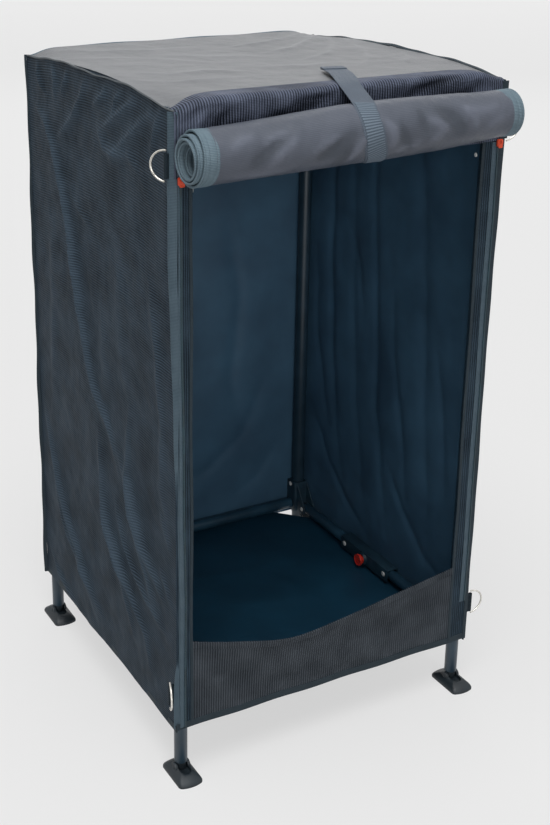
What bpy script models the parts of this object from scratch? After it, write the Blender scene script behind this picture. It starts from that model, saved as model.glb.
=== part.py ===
"""A folding camping cupboard: two tube frames, four folding side rails and a sewn cloth cover.

Metres. X runs to the right, Y to the back and Z up from the ground. Pieces are placed from the
middle between the four legs, and an empty then centres the whole cupboard over the origin.
"""
import math

import bmesh
import bpy
from mathutils import Matrix, Vector

# Overall sizes
LEG_SPACING_X = 0.552
LEG_SPACING_Y = 0.541
ROOF_TOP_Z = 1.107
BOTTOM_RAIL_Z = 0.120
# The floor cloth lies under the bottom rails, and the sides hang a little lower
FLOOR_UNDER_BRACKETS = 0.0015
HEM_UNDER_FLOOR = 0.014
FRONT_BAND_HEIGHT = 0.099

# Tubes
UPRIGHT_RADIUS = 0.0125
LEG_END_RADIUS = 0.011
LEG_END_OVER_HEM = 0.003
LEG_TAPER = 0.004
LEG_OVER_FOOT_PIN = 0.011
CROSS_RAIL_RADIUS = 0.011
SIDE_RAIL_RADIUS = 0.010
RAIL_END_MARGIN = 0.0002
TUBE_WALL = 0.001
TUBE_SIDES = 16
SIDE_RAIL_SIDES = 12
RAIL_END_STEPS = 4
ARC_STEPS = 6

# Clearances
GAP = 0.0003
RUNNING_CLEARANCE = 0.0004
PIN_CLEARANCE = 0.0003

# Folding side rails
PIVOT_INSET = 0.038
HUB_SPACING = 0.135
PIVOT_PIN_RADIUS = 0.003
PIN_SIDES = 8
EAR_THICKNESS = 0.002
EAR_RIM = 0.0022
HUB_END = 0.013
HUB_WEB = 0.002
HUB_SLOT_EXTRA = 0.0015

# Corner brackets
BRACKET_WRAP = 0.0055
BRACKET_EDGE = 0.006
BRACKET_INSET = 0.0001
BRACKET_TALL = 0.052
BRACKET_SHORT = 0.0125
SPIGOT_LENGTH = 0.022
SPIGOT_ROOT = 0.002
GUSSET_START = 0.0165

# Lock buttons
BUTTON_RADIUS = 0.0095
BUTTON_PROUD = 0.0115
BUTTON_TRAVEL = 0.004
BUTTON_STEM_RADIUS = 0.0038
BUTTON_STEM_DEPTH = 0.006
BUTTON_EDGE = 0.001
BUTTON_SIDES = 16
BOSS_WALL = 0.0023
BOSS_HEIGHT = 0.006

# Feet
FOOT_PIN_Z = 0.013
FOOT_WIDTH = 0.043
FOOT_STRAIGHT = 0.066
FOOT_END_BULGE = 0.005
FOOT_END_STEPS = 3
FOOT_FORWARD = 0.006
FOOT_EDGE_HEIGHT = 0.003
FOOT_DOME_HEIGHT = 0.0165
# Each ring up the foot's dome: its rise as a share of the dome, and its size beside the ring below
FOOT_RINGS = ((0.30, 0.90), (0.33, 0.80), (0.25, 0.68), (0.12, 0.56))
POCKET_CLEARANCE = 0.0005
POCKET_FRONT = 0.027
POCKET_BACK = 0.012
CHEEK_RADIUS = 0.009
CHEEK_THICKNESS = 0.0045
TIP_RADIUS = 0.0085
TIP_PLUG_LENGTH = 0.020
TIP_SIDES = 12

# Cloth
CLOTH = 0.001
STRIP_WIDTH = 0.038
FLOOR_CUT_MARGIN = 0.0053
ROOF_SAG = 0.005
SIDE_FULLNESS = 0.006
SIDE_FOLDS = 5
SIDE_FOLD_DEPTH = 0.0025
SIDE_FOLD_DRIFT = 2.0
CREASE_DEPTH = 0.004
CREASE_WIDTH = 0.030
# Where the crease runs, as a share of the side's depth from the front
CREASE_AT_HEM = 0.62
CREASE_AT_ROOF = 0.98
BACK_FULLNESS = 0.003
KICK_TOP_Z = 0.250
KICK_SAG = 0.040
KICK_FLOP = 0.012
# Below 1, the lowest point of the kick panel's edge moves to the left
KICK_SKEW = 0.75

# Rolled door and its strap
ROLL_LEFT_INSET = 0.0008
ROLL_RIGHT_INSET = 0.0203
# The roll's radius and how far its centre lies under the roof, at even steps from left to right
ROLL_STATIONS = ((0.0405, 0.0650), (0.0425, 0.0580), (0.0468, 0.0505), (0.0430, 0.0505), (0.0357, 0.0470))
DOOR_SEAM_DROP = 0.025
ROLL_TURNS = 5.0
# How much of its radius the roll loses in a turn
ROLL_PITCH_SHARE = 0.135
ROLL_CLOTH = 0.0022
ROLL_STEPS_PER_TURN = 12
STRAP_ROOF_X = 0.050
STRAP_EDGE_X = 0.0
STRAP_ROLL_X = -0.016
STRAP_WIDTH = 0.036
STRAP_CLOTH = 0.0016
STRAP_OFF_ROLL = 0.0013
STRAP_ROOF_LENGTH = 0.128
STRAP_ARC_STEPS = 12
STRAP_END_ANGLE = math.radians(282)
STRAP_END_OVER_OPENING = 0.004

# Rings and tabs on the front corners
RING_WIRE_RADIUS = 0.0015
RING_INNER_HEIGHT = 0.042
RING_REACH = 0.0255
RING_STEPS = 11
TAB_WIDTH = 0.036
TAB_CLOTH = 0.0012
TAB_OUT = {"left": 0.0075, "right": 0.015}
TAB_SIDES = 12
TAB_BACK_FROM_FRONT = 0.008
UPPER_RING_UNDER_ROOF = 0.081
LOWER_RING_OVER_HEM = 0.068
# How far each ring is swung towards the back
RING_TURNS = {
    "left_lower": math.radians(-70), "left_upper": math.radians(50), "right_lower": 0.0, "right_upper": 0.0,
}

# Zip pulls
ZIP_INSET = 0.0065
ZIP_PULL_UNDER_ROOF = 0.102
SLIDER_SIZE = Vector((0.009, 0.004, 0.012))
TAG_SIZE = Vector((0.007, 0.0016, 0.0105))

# Sizes that follow from those above
LEG_X = LEG_SPACING_X / 2
LEG_Y = LEG_SPACING_Y / 2
PIN_BORE_RADIUS = PIVOT_PIN_RADIUS + PIN_CLEARANCE
RAIL_END_RADIUS = SIDE_RAIL_RADIUS + RAIL_END_MARGIN
EAR_IN = SIDE_RAIL_RADIUS + RUNNING_CLEARANCE
EAR_OUT = EAR_IN + EAR_THICKNESS
EAR_RADIUS = SIDE_RAIL_RADIUS + EAR_RIM
BOSS_RADIUS = BUTTON_RADIUS + GAP + BOSS_WALL
BRACKET_OUT = UPRIGHT_RADIUS + BRACKET_WRAP
FRAME_OUT = max(UPRIGHT_RADIUS, EAR_OUT)
BRACKET_SIDE = max(EAR_OUT, UPRIGHT_RADIUS - BRACKET_INSET)
FRAME_UP = max(BRACKET_SHORT, EAR_OUT, BOSS_RADIUS)
COVER_IN_X = LEG_X + FRAME_OUT + GAP
COVER_IN_Y = LEG_Y + FRAME_OUT + GAP
COVER_OUT_X = COVER_IN_X + CLOTH
COVER_OUT_Y = COVER_IN_Y + CLOTH
ROOF_IN_Z = ROOF_TOP_Z - CLOTH
TOP_RAIL_Z = ROOF_IN_Z - GAP - FRAME_UP
FLOOR_TOP_Z = BOTTOM_RAIL_Z - FRAME_UP - FLOOR_UNDER_BRACKETS
HEM_Z = FLOOR_TOP_Z - HEM_UNDER_FLOOR
FRONT_OPENING_TOP_Z = ROOF_TOP_Z - FRONT_BAND_HEIGHT
# Just enough for the corner of the floor cloth to pass inside the leg
FLOOR_CORNER_CUT = (2 + math.sqrt(2)) * UPRIGHT_RADIUS + FLOOR_CUT_MARGIN
LEG_END_TOP_Z = HEM_Z + LEG_END_OVER_HEM
LEG_BOTTOM_Z = FOOT_PIN_Z + LEG_OVER_FOOT_PIN
PIVOT_Y = LEG_Y - PIVOT_INSET
HUB_BOLT_Y = HUB_SPACING / 2
HALF_RAIL_LENGTH = PIVOT_Y - HUB_BOLT_Y
POCKET_RADIUS = TIP_RADIUS + POCKET_CLEARANCE
FOOT_FLOOR = FOOT_PIN_Z - POCKET_RADIUS
ROLL_LEFT_X = -(COVER_OUT_X - ROLL_LEFT_INSET)
ROLL_RIGHT_X = COVER_OUT_X - ROLL_RIGHT_INSET
UPPER_RING_Z = ROOF_TOP_Z - UPPER_RING_UNDER_ROOF
LOWER_RING_Z = HEM_Z + LOWER_RING_OVER_HEM
ZIP_PULL_Z = ROOF_TOP_Z - ZIP_PULL_UNDER_ROOF

PARTS = "camping_cupboard"
CUTTERS = "cutters"


# Scene and materials

def clear_scene():
    for item in list(bpy.data.objects):
        bpy.data.objects.remove(item, do_unlink=True)


def new_collection(name):
    collection = bpy.data.collections.new(name)
    bpy.context.scene.collection.children.link(collection)
    return collection


def new_material(name, colour, roughness, metallic=0.0):
    material = bpy.data.materials.new(name)
    material.use_nodes = True
    shader = material.node_tree.nodes["Principled BSDF"]
    shader.inputs["Base Color"].default_value = (*colour, 1.0)
    shader.inputs["Roughness"].default_value = roughness
    shader.inputs["Metallic"].default_value = metallic
    material.diffuse_color = (*colour, 1.0)
    return material


def make_materials():
    return {
        "tube": new_material("powder_coated_steel", (0.035, 0.042, 0.048), 0.45, 0.2),
        "moulded": new_material("black_moulded_nylon", (0.012, 0.014, 0.016), 0.5),
        "button": new_material("red_moulded_plastic", (0.55, 0.02, 0.02), 0.4),
        "ribbed": new_material("ribbed_grey_polyester", (0.045, 0.049, 0.056), 0.8),
        "roof": new_material("smooth_grey_polyester", (0.12, 0.125, 0.13), 0.6),
        "lining": new_material("dark_lining_cloth", (0.012, 0.02, 0.026), 0.8),
        "door": new_material("coated_door_cloth", (0.07, 0.074, 0.082), 0.5),
        "webbing": new_material("woven_webbing", (0.04, 0.055, 0.066), 0.85),
        "steel": new_material("nickel_plated_wire", (0.75, 0.75, 0.75), 0.25, 1.0),
        "zip": new_material("orange_zip_pull", (0.75, 0.08, 0.02), 0.45),
    }


# Meshes from modelling tools

def mesh_from(bm, name):
    mesh = bpy.data.meshes.new(name)
    bm.to_mesh(mesh)
    bm.free()
    return mesh


def evaluated_mesh(item, name):
    bpy.context.view_layer.update()
    graph = bpy.context.evaluated_depsgraph_get()
    mesh = bpy.data.meshes.new_from_object(item.evaluated_get(graph))
    mesh.name = name
    return mesh


def helper_object(name, data):
    item = bpy.data.objects.new(name, data)
    item.hide_render = True
    item.display_type = "WIRE"
    bpy.data.collections[CUTTERS].objects.link(item)
    return item


def welded(mesh, matrix=None):
    """Joins loose caps, points faces outwards, and moves the mesh by a matrix."""
    bm = bmesh.new()
    bm.from_mesh(mesh)
    bmesh.ops.remove_doubles(bm, verts=bm.verts, dist=0.00001)
    bmesh.ops.recalc_face_normals(bm, faces=bm.faces)
    if matrix is not None:
        bmesh.ops.transform(bm, matrix=matrix, verts=bm.verts)
    bm.to_mesh(mesh)
    bm.free()
    return mesh


def box(low, high):
    low, high = Vector(low), Vector(high)
    size = high - low
    matrix = Matrix.Translation((low + high) / 2) @ Matrix.Diagonal((*size, 1.0))
    bm = bmesh.new()
    bmesh.ops.create_cube(bm, size=1.0, matrix=matrix)
    return mesh_from(bm, "box")


def cylinder(radius, start, end, sides=TUBE_SIDES):
    start, end = Vector(start), Vector(end)
    direction = end - start
    turn = Vector((0, 0, 1)).rotation_difference(direction).to_matrix().to_4x4()
    bm = bmesh.new()
    bmesh.ops.create_cone(
        bm,
        cap_ends=True,
        segments=sides,
        radius1=radius,
        radius2=radius,
        depth=direction.length,
        matrix=Matrix.Translation((start + end) / 2) @ turn,
    )
    return mesh_from(bm, "cylinder")


def combined(name, base, steps):
    """Works through (operation, mesh) steps with exact Boolean modifiers on a base mesh."""
    target = helper_object(name, base)
    tools = []
    for number, (operation, tool_mesh) in enumerate(steps):
        tool = helper_object(f"{name}_tool_{number}", tool_mesh)
        tools.append(tool)
        boolean = target.modifiers.new(f"step_{number}", "BOOLEAN")
        boolean.operation = operation
        boolean.object = tool
        boolean.solver = "EXACT"
    mesh = welded(evaluated_mesh(target, name))
    for item in [target] + tools:
        bpy.data.objects.remove(item, do_unlink=True)
    return mesh


def turned(name, profile, sides, closed):
    """Turns a profile of (radius, height) points round Z with a Screw modifier."""
    bm = bmesh.new()
    points = [bm.verts.new((radius, 0.0, height)) for radius, height in profile]
    for first, second in zip(points, points[1:]):
        bm.edges.new((first, second))
    if closed:
        bm.edges.new((points[-1], points[0]))
    item = helper_object(name, mesh_from(bm, name))
    screw = item.modifiers.new("turn", "SCREW")
    screw.axis = "Z"
    screw.steps = sides
    screw.render_steps = sides
    screw.use_merge_vertices = True
    screw.merge_threshold = 0.00001
    mesh = welded(evaluated_mesh(item, name))
    bpy.data.objects.remove(item, do_unlink=True)
    return mesh


def plate(name, outline, thickness, matrix):
    """A flat outline with its thickness centred on the plane, then moved by a matrix."""
    curve = bpy.data.curves.new(name, "CURVE")
    curve.dimensions = "2D"
    curve.fill_mode = "BOTH"
    curve.extrude = thickness / 2
    spline = curve.splines.new("POLY")
    spline.points.add(len(outline) - 1)
    for point, (across, along) in zip(spline.points, outline):
        point.co = (across, along, 0.0, 1.0)
    spline.use_cyclic_u = True
    item = helper_object(name, curve)
    mesh = welded(evaluated_mesh(item, name), matrix)
    bpy.data.objects.remove(item, do_unlink=True)
    return mesh


def sheet(name, columns, rows, place, thickness):
    """A cloth grid put in place by a formula of (u, v), 0 to 1, then thickened on one side."""
    bm = bmesh.new()
    bmesh.ops.create_grid(bm, x_segments=columns, y_segments=rows, size=0.5)
    for vert in bm.verts:
        vert.co = Vector(place(vert.co.x + 0.5, vert.co.y + 0.5))
    item = helper_object(name, mesh_from(bm, name))
    solidify = item.modifiers.new("cloth", "SOLIDIFY")
    solidify.thickness = thickness
    solidify.offset = -1.0
    mesh = welded(evaluated_mesh(item, name))
    bpy.data.objects.remove(item, do_unlink=True)
    return mesh


def mirrored(mesh, signs):
    """A copy of a mesh, flipped along each axis whose sign is -1, with its faces still outwards."""
    copy = mesh.copy()
    copy.transform(Matrix.Diagonal((*signs, 1.0)))
    if signs[0] * signs[1] * signs[2] < 0:
        copy.flip_normals()
    return copy


def arc(centre, radius, start, end, steps):
    angles = [start + (end - start) * step / steps for step in range(steps + 1)]
    return [(centre[0] + radius * math.cos(a), centre[1] + radius * math.sin(a)) for a in angles]


# Turns a plate drawn in (across, along) so that it lies in the YZ plane
PLATE_TO_YZ = Matrix(((0, 0, 1, 0), (1, 0, 0, 0), (0, 1, 0, 0), (0, 0, 0, 1)))
# Turns a plate drawn in (across, along) so that it lies in the XZ plane
PLATE_TO_XZ = Matrix(((1, 0, 0, 0), (0, 0, -1, 0), (0, 1, 0, 0), (0, 0, 0, 1)))


# Frame pieces, each drawn about its own origin

def leg_mesh():
    """An upright tube whose lower end is drawn down to the thinner leg end."""
    top = TOP_RAIL_Z + FRAME_UP
    profile = [
        (UPRIGHT_RADIUS, top),
        (UPRIGHT_RADIUS, LEG_END_TOP_Z + LEG_TAPER),
        (LEG_END_RADIUS, LEG_END_TOP_Z),
        (LEG_END_RADIUS, LEG_BOTTOM_Z),
        (LEG_END_RADIUS - TUBE_WALL, LEG_BOTTOM_Z),
        (LEG_END_RADIUS - TUBE_WALL, LEG_END_TOP_Z),
        (UPRIGHT_RADIUS - TUBE_WALL, LEG_END_TOP_Z + LEG_TAPER),
        (UPRIGHT_RADIUS - TUBE_WALL, top),
    ]
    return turned("leg", profile, TUBE_SIDES, closed=True)


def tube_mesh(name, radius, length, sides):
    """A plain round tube along Z, centred on the origin."""
    half = length / 2
    bore = radius - TUBE_WALL
    profile = [(radius, half), (radius, -half), (bore, -half), (bore, half)]
    return turned(name, profile, sides, closed=True)


def cross_rail_mesh():
    length = 2 * (LEG_X - BRACKET_OUT - GAP)
    mesh = tube_mesh("cross_rail", CROSS_RAIL_RADIUS, length, TUBE_SIDES)
    mesh.transform(Matrix.Rotation(math.radians(90), 4, "Y"))
    return mesh


def gusset_outline():
    """One ear in (inwards, up): a round end at the pivot and a slope up to the leg."""
    lean = math.atan2(BRACKET_TALL, PIVOT_INSET - GUSSET_START)
    round_end = arc((PIVOT_INSET, 0.0), EAR_RADIUS, -math.pi / 2, math.pi / 2 - lean / 2, ARC_STEPS)
    return [(GUSSET_START, -EAR_RADIUS)] + round_end + [(GUSSET_START, BRACKET_TALL)]


def bracket_mesh():
    """A bottom bracket about the leg's axis at rail height, with its inner side towards +X and +Y."""
    low, high = -BRACKET_SHORT, BRACKET_TALL
    side_wrap = box((-BRACKET_SIDE, BRACKET_EDGE, low), (BRACKET_OUT, BRACKET_OUT, high))
    end_wrap = box((BRACKET_EDGE, -BRACKET_SIDE, low), (BRACKET_OUT, BRACKET_OUT - GAP, high - GAP))
    reach = BRACKET_TALL * 2
    leg_bore = cylinder(UPRIGHT_RADIUS + GAP, (0, 0, -reach), (0, 0, reach))
    spigot_radius = CROSS_RAIL_RADIUS - TUBE_WALL - GAP
    spigot_end = BRACKET_OUT + SPIGOT_LENGTH
    spigot = cylinder(spigot_radius, (BRACKET_OUT - SPIGOT_ROOT, 0, 0), (spigot_end, 0, 0))
    ear_middle = EAR_IN + EAR_THICKNESS / 2
    steps = [("UNION", end_wrap), ("DIFFERENCE", leg_bore), ("UNION", spigot)]
    for side in (-1, 1):
        matrix = Matrix.Translation((side * ear_middle, 0, 0)) @ PLATE_TO_YZ
        steps.append(("UNION", plate("ear", gusset_outline(), EAR_THICKNESS, matrix)))
    pin_reach = EAR_IN + EAR_THICKNESS / 2
    pin = cylinder(
        PIVOT_PIN_RADIUS, (-pin_reach, PIVOT_INSET, 0), (pin_reach, PIVOT_INSET, 0), PIN_SIDES
    )
    steps.append(("UNION", pin))
    return combined("bracket", side_wrap, steps)


def half_rail_mesh():
    """Half a side rail along +Y from its frame pivot at the origin, with round ends and two bores."""
    radius = SIDE_RAIL_RADIUS
    length = HALF_RAIL_LENGTH
    tube = tube_mesh("half_rail_tube", radius, length + 3 * radius, SIDE_RAIL_SIDES)
    tube.transform(Matrix.Rotation(math.radians(-90), 4, "X"))
    tube.transform(Matrix.Translation((0, length / 2, 0)))
    ends = arc((0, 0), RAIL_END_RADIUS, math.radians(270), math.radians(90), RAIL_END_STEPS)
    ends += arc((length, 0), RAIL_END_RADIUS, math.radians(90), math.radians(-90), RAIL_END_STEPS)
    side_view = plate("rail_side_view", ends, 4 * radius, PLATE_TO_YZ)
    steps = [("INTERSECT", side_view)]
    for bore_y in (0.0, length):
        start, end = (-2 * radius, bore_y, 0), (2 * radius, bore_y, 0)
        steps.append(("DIFFERENCE", cylinder(PIN_BORE_RADIUS, start, end, PIN_SIDES)))
    return combined("half_rail", tube, steps)


def hub_mesh():
    """A bottom rail hub about its middle: a block with a fork at each end, and a boss towards +X."""
    half_length = HUB_BOLT_Y + HUB_END
    body = box((-EAR_OUT, -half_length, -EAR_OUT), (EAR_OUT, half_length, EAR_OUT))
    slot_start = HUB_BOLT_Y - SIDE_RAIL_RADIUS - HUB_SLOT_EXTRA
    slot_top = EAR_OUT - HUB_WEB
    steps = []
    for side in (-1, 1):
        inner, outer = sorted((side * slot_start, side * (half_length + HUB_END)))
        slot = box((-EAR_IN, inner, -2 * EAR_OUT), (EAR_IN, outer, slot_top))
        steps.append(("DIFFERENCE", slot))
    boss_end = EAR_OUT + BOSS_HEIGHT
    steps.append(("UNION", cylinder(BOSS_RADIUS, (EAR_OUT / 2, 0, 0), (boss_end, 0, 0), BUTTON_SIDES)))
    well = cylinder(BUTTON_RADIUS + GAP, (EAR_OUT, 0, 0), (2 * boss_end, 0, 0), BUTTON_SIDES)
    steps.append(("DIFFERENCE", well))
    stem_floor = EAR_OUT - BUTTON_STEM_DEPTH - BUTTON_TRAVEL - GAP
    stem_bore = cylinder(BUTTON_STEM_RADIUS + GAP, (stem_floor, 0, 0), (boss_end, 0, 0), BUTTON_SIDES)
    steps.append(("DIFFERENCE", stem_bore))
    pin_reach = EAR_IN + EAR_THICKNESS / 2
    for side in (-1, 1):
        y = side * HUB_BOLT_Y
        steps.append(("UNION", cylinder(PIVOT_PIN_RADIUS, (-pin_reach, y, 0), (pin_reach, y, 0), PIN_SIDES)))
    return combined("hub", body, steps)


def button_mesh():
    """A lock button towards +X, about the hub's middle, with its stem in the hub."""
    head_start = EAR_OUT + BUTTON_TRAVEL + GAP
    head_end = EAR_OUT + BUTTON_PROUD
    stem_start = EAR_OUT - BUTTON_STEM_DEPTH
    profile = [
        (0.0, head_end),
        (BUTTON_RADIUS - BUTTON_EDGE, head_end),
        (BUTTON_RADIUS, head_end - BUTTON_EDGE),
        (BUTTON_RADIUS, head_start),
        (BUTTON_STEM_RADIUS, head_start),
        (BUTTON_STEM_RADIUS, stem_start),
        (0.0, stem_start),
    ]
    mesh = turned("button", profile, BUTTON_SIDES, closed=False)
    mesh.transform(Matrix.Rotation(math.radians(90), 4, "Y"))
    return mesh


def leg_tip_mesh():
    """A moulded plug in the leg's end, about the foot pin, with a ball end and a cross bore."""
    leg_end = LEG_BOTTOM_Z - FOOT_PIN_Z
    plug_radius = LEG_END_RADIUS - TUBE_WALL - GAP
    ball = arc((0, 0), TIP_RADIUS, 0, -math.pi / 2, 4)[:-1]
    profile = [
        (0.0, leg_end + TIP_PLUG_LENGTH),
        (plug_radius, leg_end + TIP_PLUG_LENGTH),
        (plug_radius, leg_end),
        (TIP_RADIUS, leg_end),
    ]
    profile += ball + [(0.0, -TIP_RADIUS)]
    solid = turned("leg_tip_solid", profile, TIP_SIDES, closed=False)
    reach = 2 * TIP_RADIUS
    bore = cylinder(PIN_BORE_RADIUS, (-reach, 0, 0), (reach, 0, 0), PIN_SIDES)
    return combined("leg_tip", solid, [("DIFFERENCE", bore)])


def foot_outline():
    """The pad seen from above: straight sides and gently bulging ends."""
    half_width = FOOT_WIDTH / 2
    half_straight = FOOT_STRAIGHT / 2
    end_radius = (half_width ** 2 + FOOT_END_BULGE ** 2) / (2 * FOOT_END_BULGE)
    spread = math.asin(half_width / end_radius)
    offset = half_straight + FOOT_END_BULGE - end_radius
    front = arc((0, -offset), end_radius, -math.pi / 2 - spread, -math.pi / 2 + spread, FOOT_END_STEPS)
    back = arc((0, offset), end_radius, math.pi / 2 - spread, math.pi / 2 + spread, FOOT_END_STEPS)
    return front + back


def foot_mesh():
    """A domed pad about its pin, with a pocket for the leg tip, two cheeks and the pin across."""
    bm = bmesh.new()
    rim = [bm.verts.new((x, y - FOOT_FORWARD, -FOOT_PIN_Z)) for x, y in foot_outline()]
    region = [bm.faces.new(rim)]
    dome = FOOT_DOME_HEIGHT - FOOT_EDGE_HEIGHT
    rings = [(FOOT_EDGE_HEIGHT, 1.0)] + [(dome * share, shrink) for share, shrink in FOOT_RINGS]
    for rise, shrink in rings:
        raised = bmesh.ops.extrude_face_region(bm, geom=region)["geom"]
        verts = [item for item in raised if isinstance(item, bmesh.types.BMVert)]
        if region[0].verts[0].co.z > -FOOT_PIN_Z:
            bmesh.ops.delete(bm, geom=region, context="FACES_ONLY")
        region = [item for item in raised if isinstance(item, bmesh.types.BMFace)]
        for vert in verts:
            vert.co.z += rise
            vert.co.x *= shrink
            vert.co.y = (vert.co.y + FOOT_FORWARD) * shrink - FOOT_FORWARD
    bmesh.ops.recalc_face_normals(bm, faces=bm.faces)
    body = mesh_from(bm, "foot_dome")
    cheek_out = POCKET_RADIUS + CHEEK_THICKNESS
    steps = [("UNION", cylinder(CHEEK_RADIUS, (-cheek_out, 0, 0), (cheek_out, 0, 0)))]
    pocket = arc((0, -POCKET_FRONT + POCKET_RADIUS), POCKET_RADIUS, -math.pi, 0, ARC_STEPS)
    pocket += arc((0, POCKET_BACK - POCKET_RADIUS), POCKET_RADIUS, 0, math.pi, ARC_STEPS)
    pocket_height = 2 * FOOT_DOME_HEIGHT
    middle = FOOT_FLOOR - FOOT_PIN_Z + pocket_height / 2
    cutter = plate("pocket", pocket, pocket_height, Matrix.Translation((0, 0, middle)))
    steps.append(("DIFFERENCE", cutter))
    pin_reach = POCKET_RADIUS + CHEEK_THICKNESS / 2
    pin = cylinder(PIVOT_PIN_RADIUS, (-pin_reach, 0, 0), (pin_reach, 0, 0), PIN_SIDES)
    steps.append(("UNION", pin))
    return combined("foot", body, steps)


# Cover pieces, drawn where they lie

def bump(share):
    """0 at both ends of a span and 1 in its middle."""
    return math.sin(math.pi * share)


def roof_panel_mesh():
    def place(u, v):
        x = COVER_OUT_X * (2 * u - 1)
        y = COVER_OUT_Y * (2 * v - 1)
        return x, y, ROOF_TOP_Z - ROOF_SAG * (bump(u) * bump(v)) ** 3
    return sheet("roof_panel", columns=8, rows=8, place=place, thickness=CLOTH)


def side_fullness(u, v):
    """How far a side stands out, u from front to back and v from hem to roof."""
    slack = bump(u) * bump(v)
    upright_folds = math.sin(SIDE_FOLDS * math.pi * u + SIDE_FOLD_DRIFT * v) ** 2
    crease_u = CREASE_AT_HEM + (CREASE_AT_ROOF - CREASE_AT_HEM) * v ** 3
    distance = (u - crease_u) * 2 * COVER_IN_Y / CREASE_WIDTH
    crease = math.exp(-distance ** 2) * bump(v) ** 0.5
    from_the_legs = min(1.0, 8 * u, 8 * (1 - u))
    return (SIDE_FULLNESS + SIDE_FOLD_DEPTH * upright_folds) * slack + CREASE_DEPTH * crease * from_the_legs


def side_panel_mesh(name, side):
    """A side of the cover. Its outer face is drawn, and the cloth's thickness lies inside it."""
    top = ROOF_IN_Z - GAP
    half_depth = COVER_IN_Y - GAP

    def place(u, v):
        y = half_depth * (2 * u - 1) * side
        front_to_back = u if side > 0 else 1 - u
        x = side * (COVER_OUT_X + side_fullness(front_to_back, v))
        return x, y, HEM_Z + (top - HEM_Z) * v
    return sheet(name, columns=12, rows=14, place=place, thickness=CLOTH)


def back_panel_mesh():
    top = ROOF_IN_Z - GAP

    def place(u, v):
        x = COVER_OUT_X * (1 - 2 * u)
        y = COVER_OUT_Y + BACK_FULLNESS * bump(u) * bump(v)
        return x, y, HEM_Z + (top - HEM_Z) * v
    return sheet("back_panel", columns=8, rows=8, place=place, thickness=CLOTH)


def floor_panel_mesh():
    half_x = COVER_IN_X - GAP
    half_y = COVER_IN_Y - GAP
    cut = FLOOR_CORNER_CUT
    outline = [
        (-half_x + cut, -half_y), (half_x - cut, -half_y), (half_x, -half_y + cut),
        (half_x, half_y - cut), (half_x - cut, half_y), (-half_x + cut, half_y),
        (-half_x, half_y - cut), (-half_x, -half_y + cut),
    ]
    matrix = Matrix.Translation((0, 0, FLOOR_TOP_Z - CLOTH / 2))
    return plate("floor_panel", outline, CLOTH, matrix)


def front_panel_mesh():
    """The band over the opening and the strip down each side of it, cut as one piece."""
    outer = COVER_OUT_X
    inner = outer - STRIP_WIDTH
    top = ROOF_IN_Z - GAP
    outline = [
        (-outer, HEM_Z), (-inner, HEM_Z), (-inner, FRONT_OPENING_TOP_Z),
        (inner, FRONT_OPENING_TOP_Z), (inner, HEM_Z), (outer, HEM_Z), (outer, top), (-outer, top),
    ]
    matrix = Matrix.Translation((0, -COVER_OUT_Y + CLOTH / 2, 0)) @ PLATE_TO_XZ
    return plate("front_panel", outline, CLOTH, matrix)


def kick_panel_mesh():
    """The low front panel, whose top edge sags and leans out a little left of the middle."""
    half = COVER_OUT_X - STRIP_WIDTH - GAP

    def place(u, v):
        slack = bump(u ** KICK_SKEW)
        top = KICK_TOP_Z - KICK_SAG * slack
        y = -COVER_OUT_Y - KICK_FLOP * slack * v ** 2
        return half * (2 * u - 1), y, HEM_Z + (top - HEM_Z) * v
    return sheet("kick_panel", columns=14, rows=4, place=place, thickness=CLOTH)


def roll_section(x):
    """The roll's centre (y, z) and radius at a place along it. It is fullest in the middle."""
    steps = len(ROLL_STATIONS) - 1
    place = steps * (x - ROLL_LEFT_X) / (ROLL_RIGHT_X - ROLL_LEFT_X)
    left = min(int(place), steps - 1)
    share = place - left
    radius, depth = (
        first + (second - first) * share
        for first, second in zip(ROLL_STATIONS[left], ROLL_STATIONS[left + 1])
    )
    return (-(COVER_OUT_Y + GAP + radius), ROOF_TOP_Z - depth), radius


def rolled_door_mesh():
    """The door cloth: a flat run up the front band, then a spiral of several turns."""
    spiral_steps = round(ROLL_TURNS * ROLL_STEPS_PER_TURN)
    run_steps = 2

    def place(u, v):
        row = round(v * (spiral_steps + run_steps))
        x = ROLL_LEFT_X + (ROLL_RIGHT_X - ROLL_LEFT_X) * u
        (centre_y, centre_z), radius = roll_section(x)
        if row < run_steps:
            return x, centre_y + radius, centre_z - DOOR_SEAM_DROP * (1 - row / run_steps)
        turn = (row - run_steps) / ROLL_STEPS_PER_TURN
        angle = 2 * math.pi * turn
        inner = radius * (1 - ROLL_PITCH_SHARE * turn)
        return x, centre_y + inner * math.cos(angle), centre_z + inner * math.sin(angle)
    rows = spiral_steps + run_steps
    columns = len(ROLL_STATIONS) - 1
    mesh = sheet("rolled_door", columns=columns, rows=rows, place=place, thickness=-ROLL_CLOTH)
    least = ROLL_PITCH_SHARE * min(radius for radius, depth in ROLL_STATIONS) - ROLL_CLOTH
    print(f"rolled door: least gap between its turns {least * 1000:.1f} mm")
    return mesh


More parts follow.
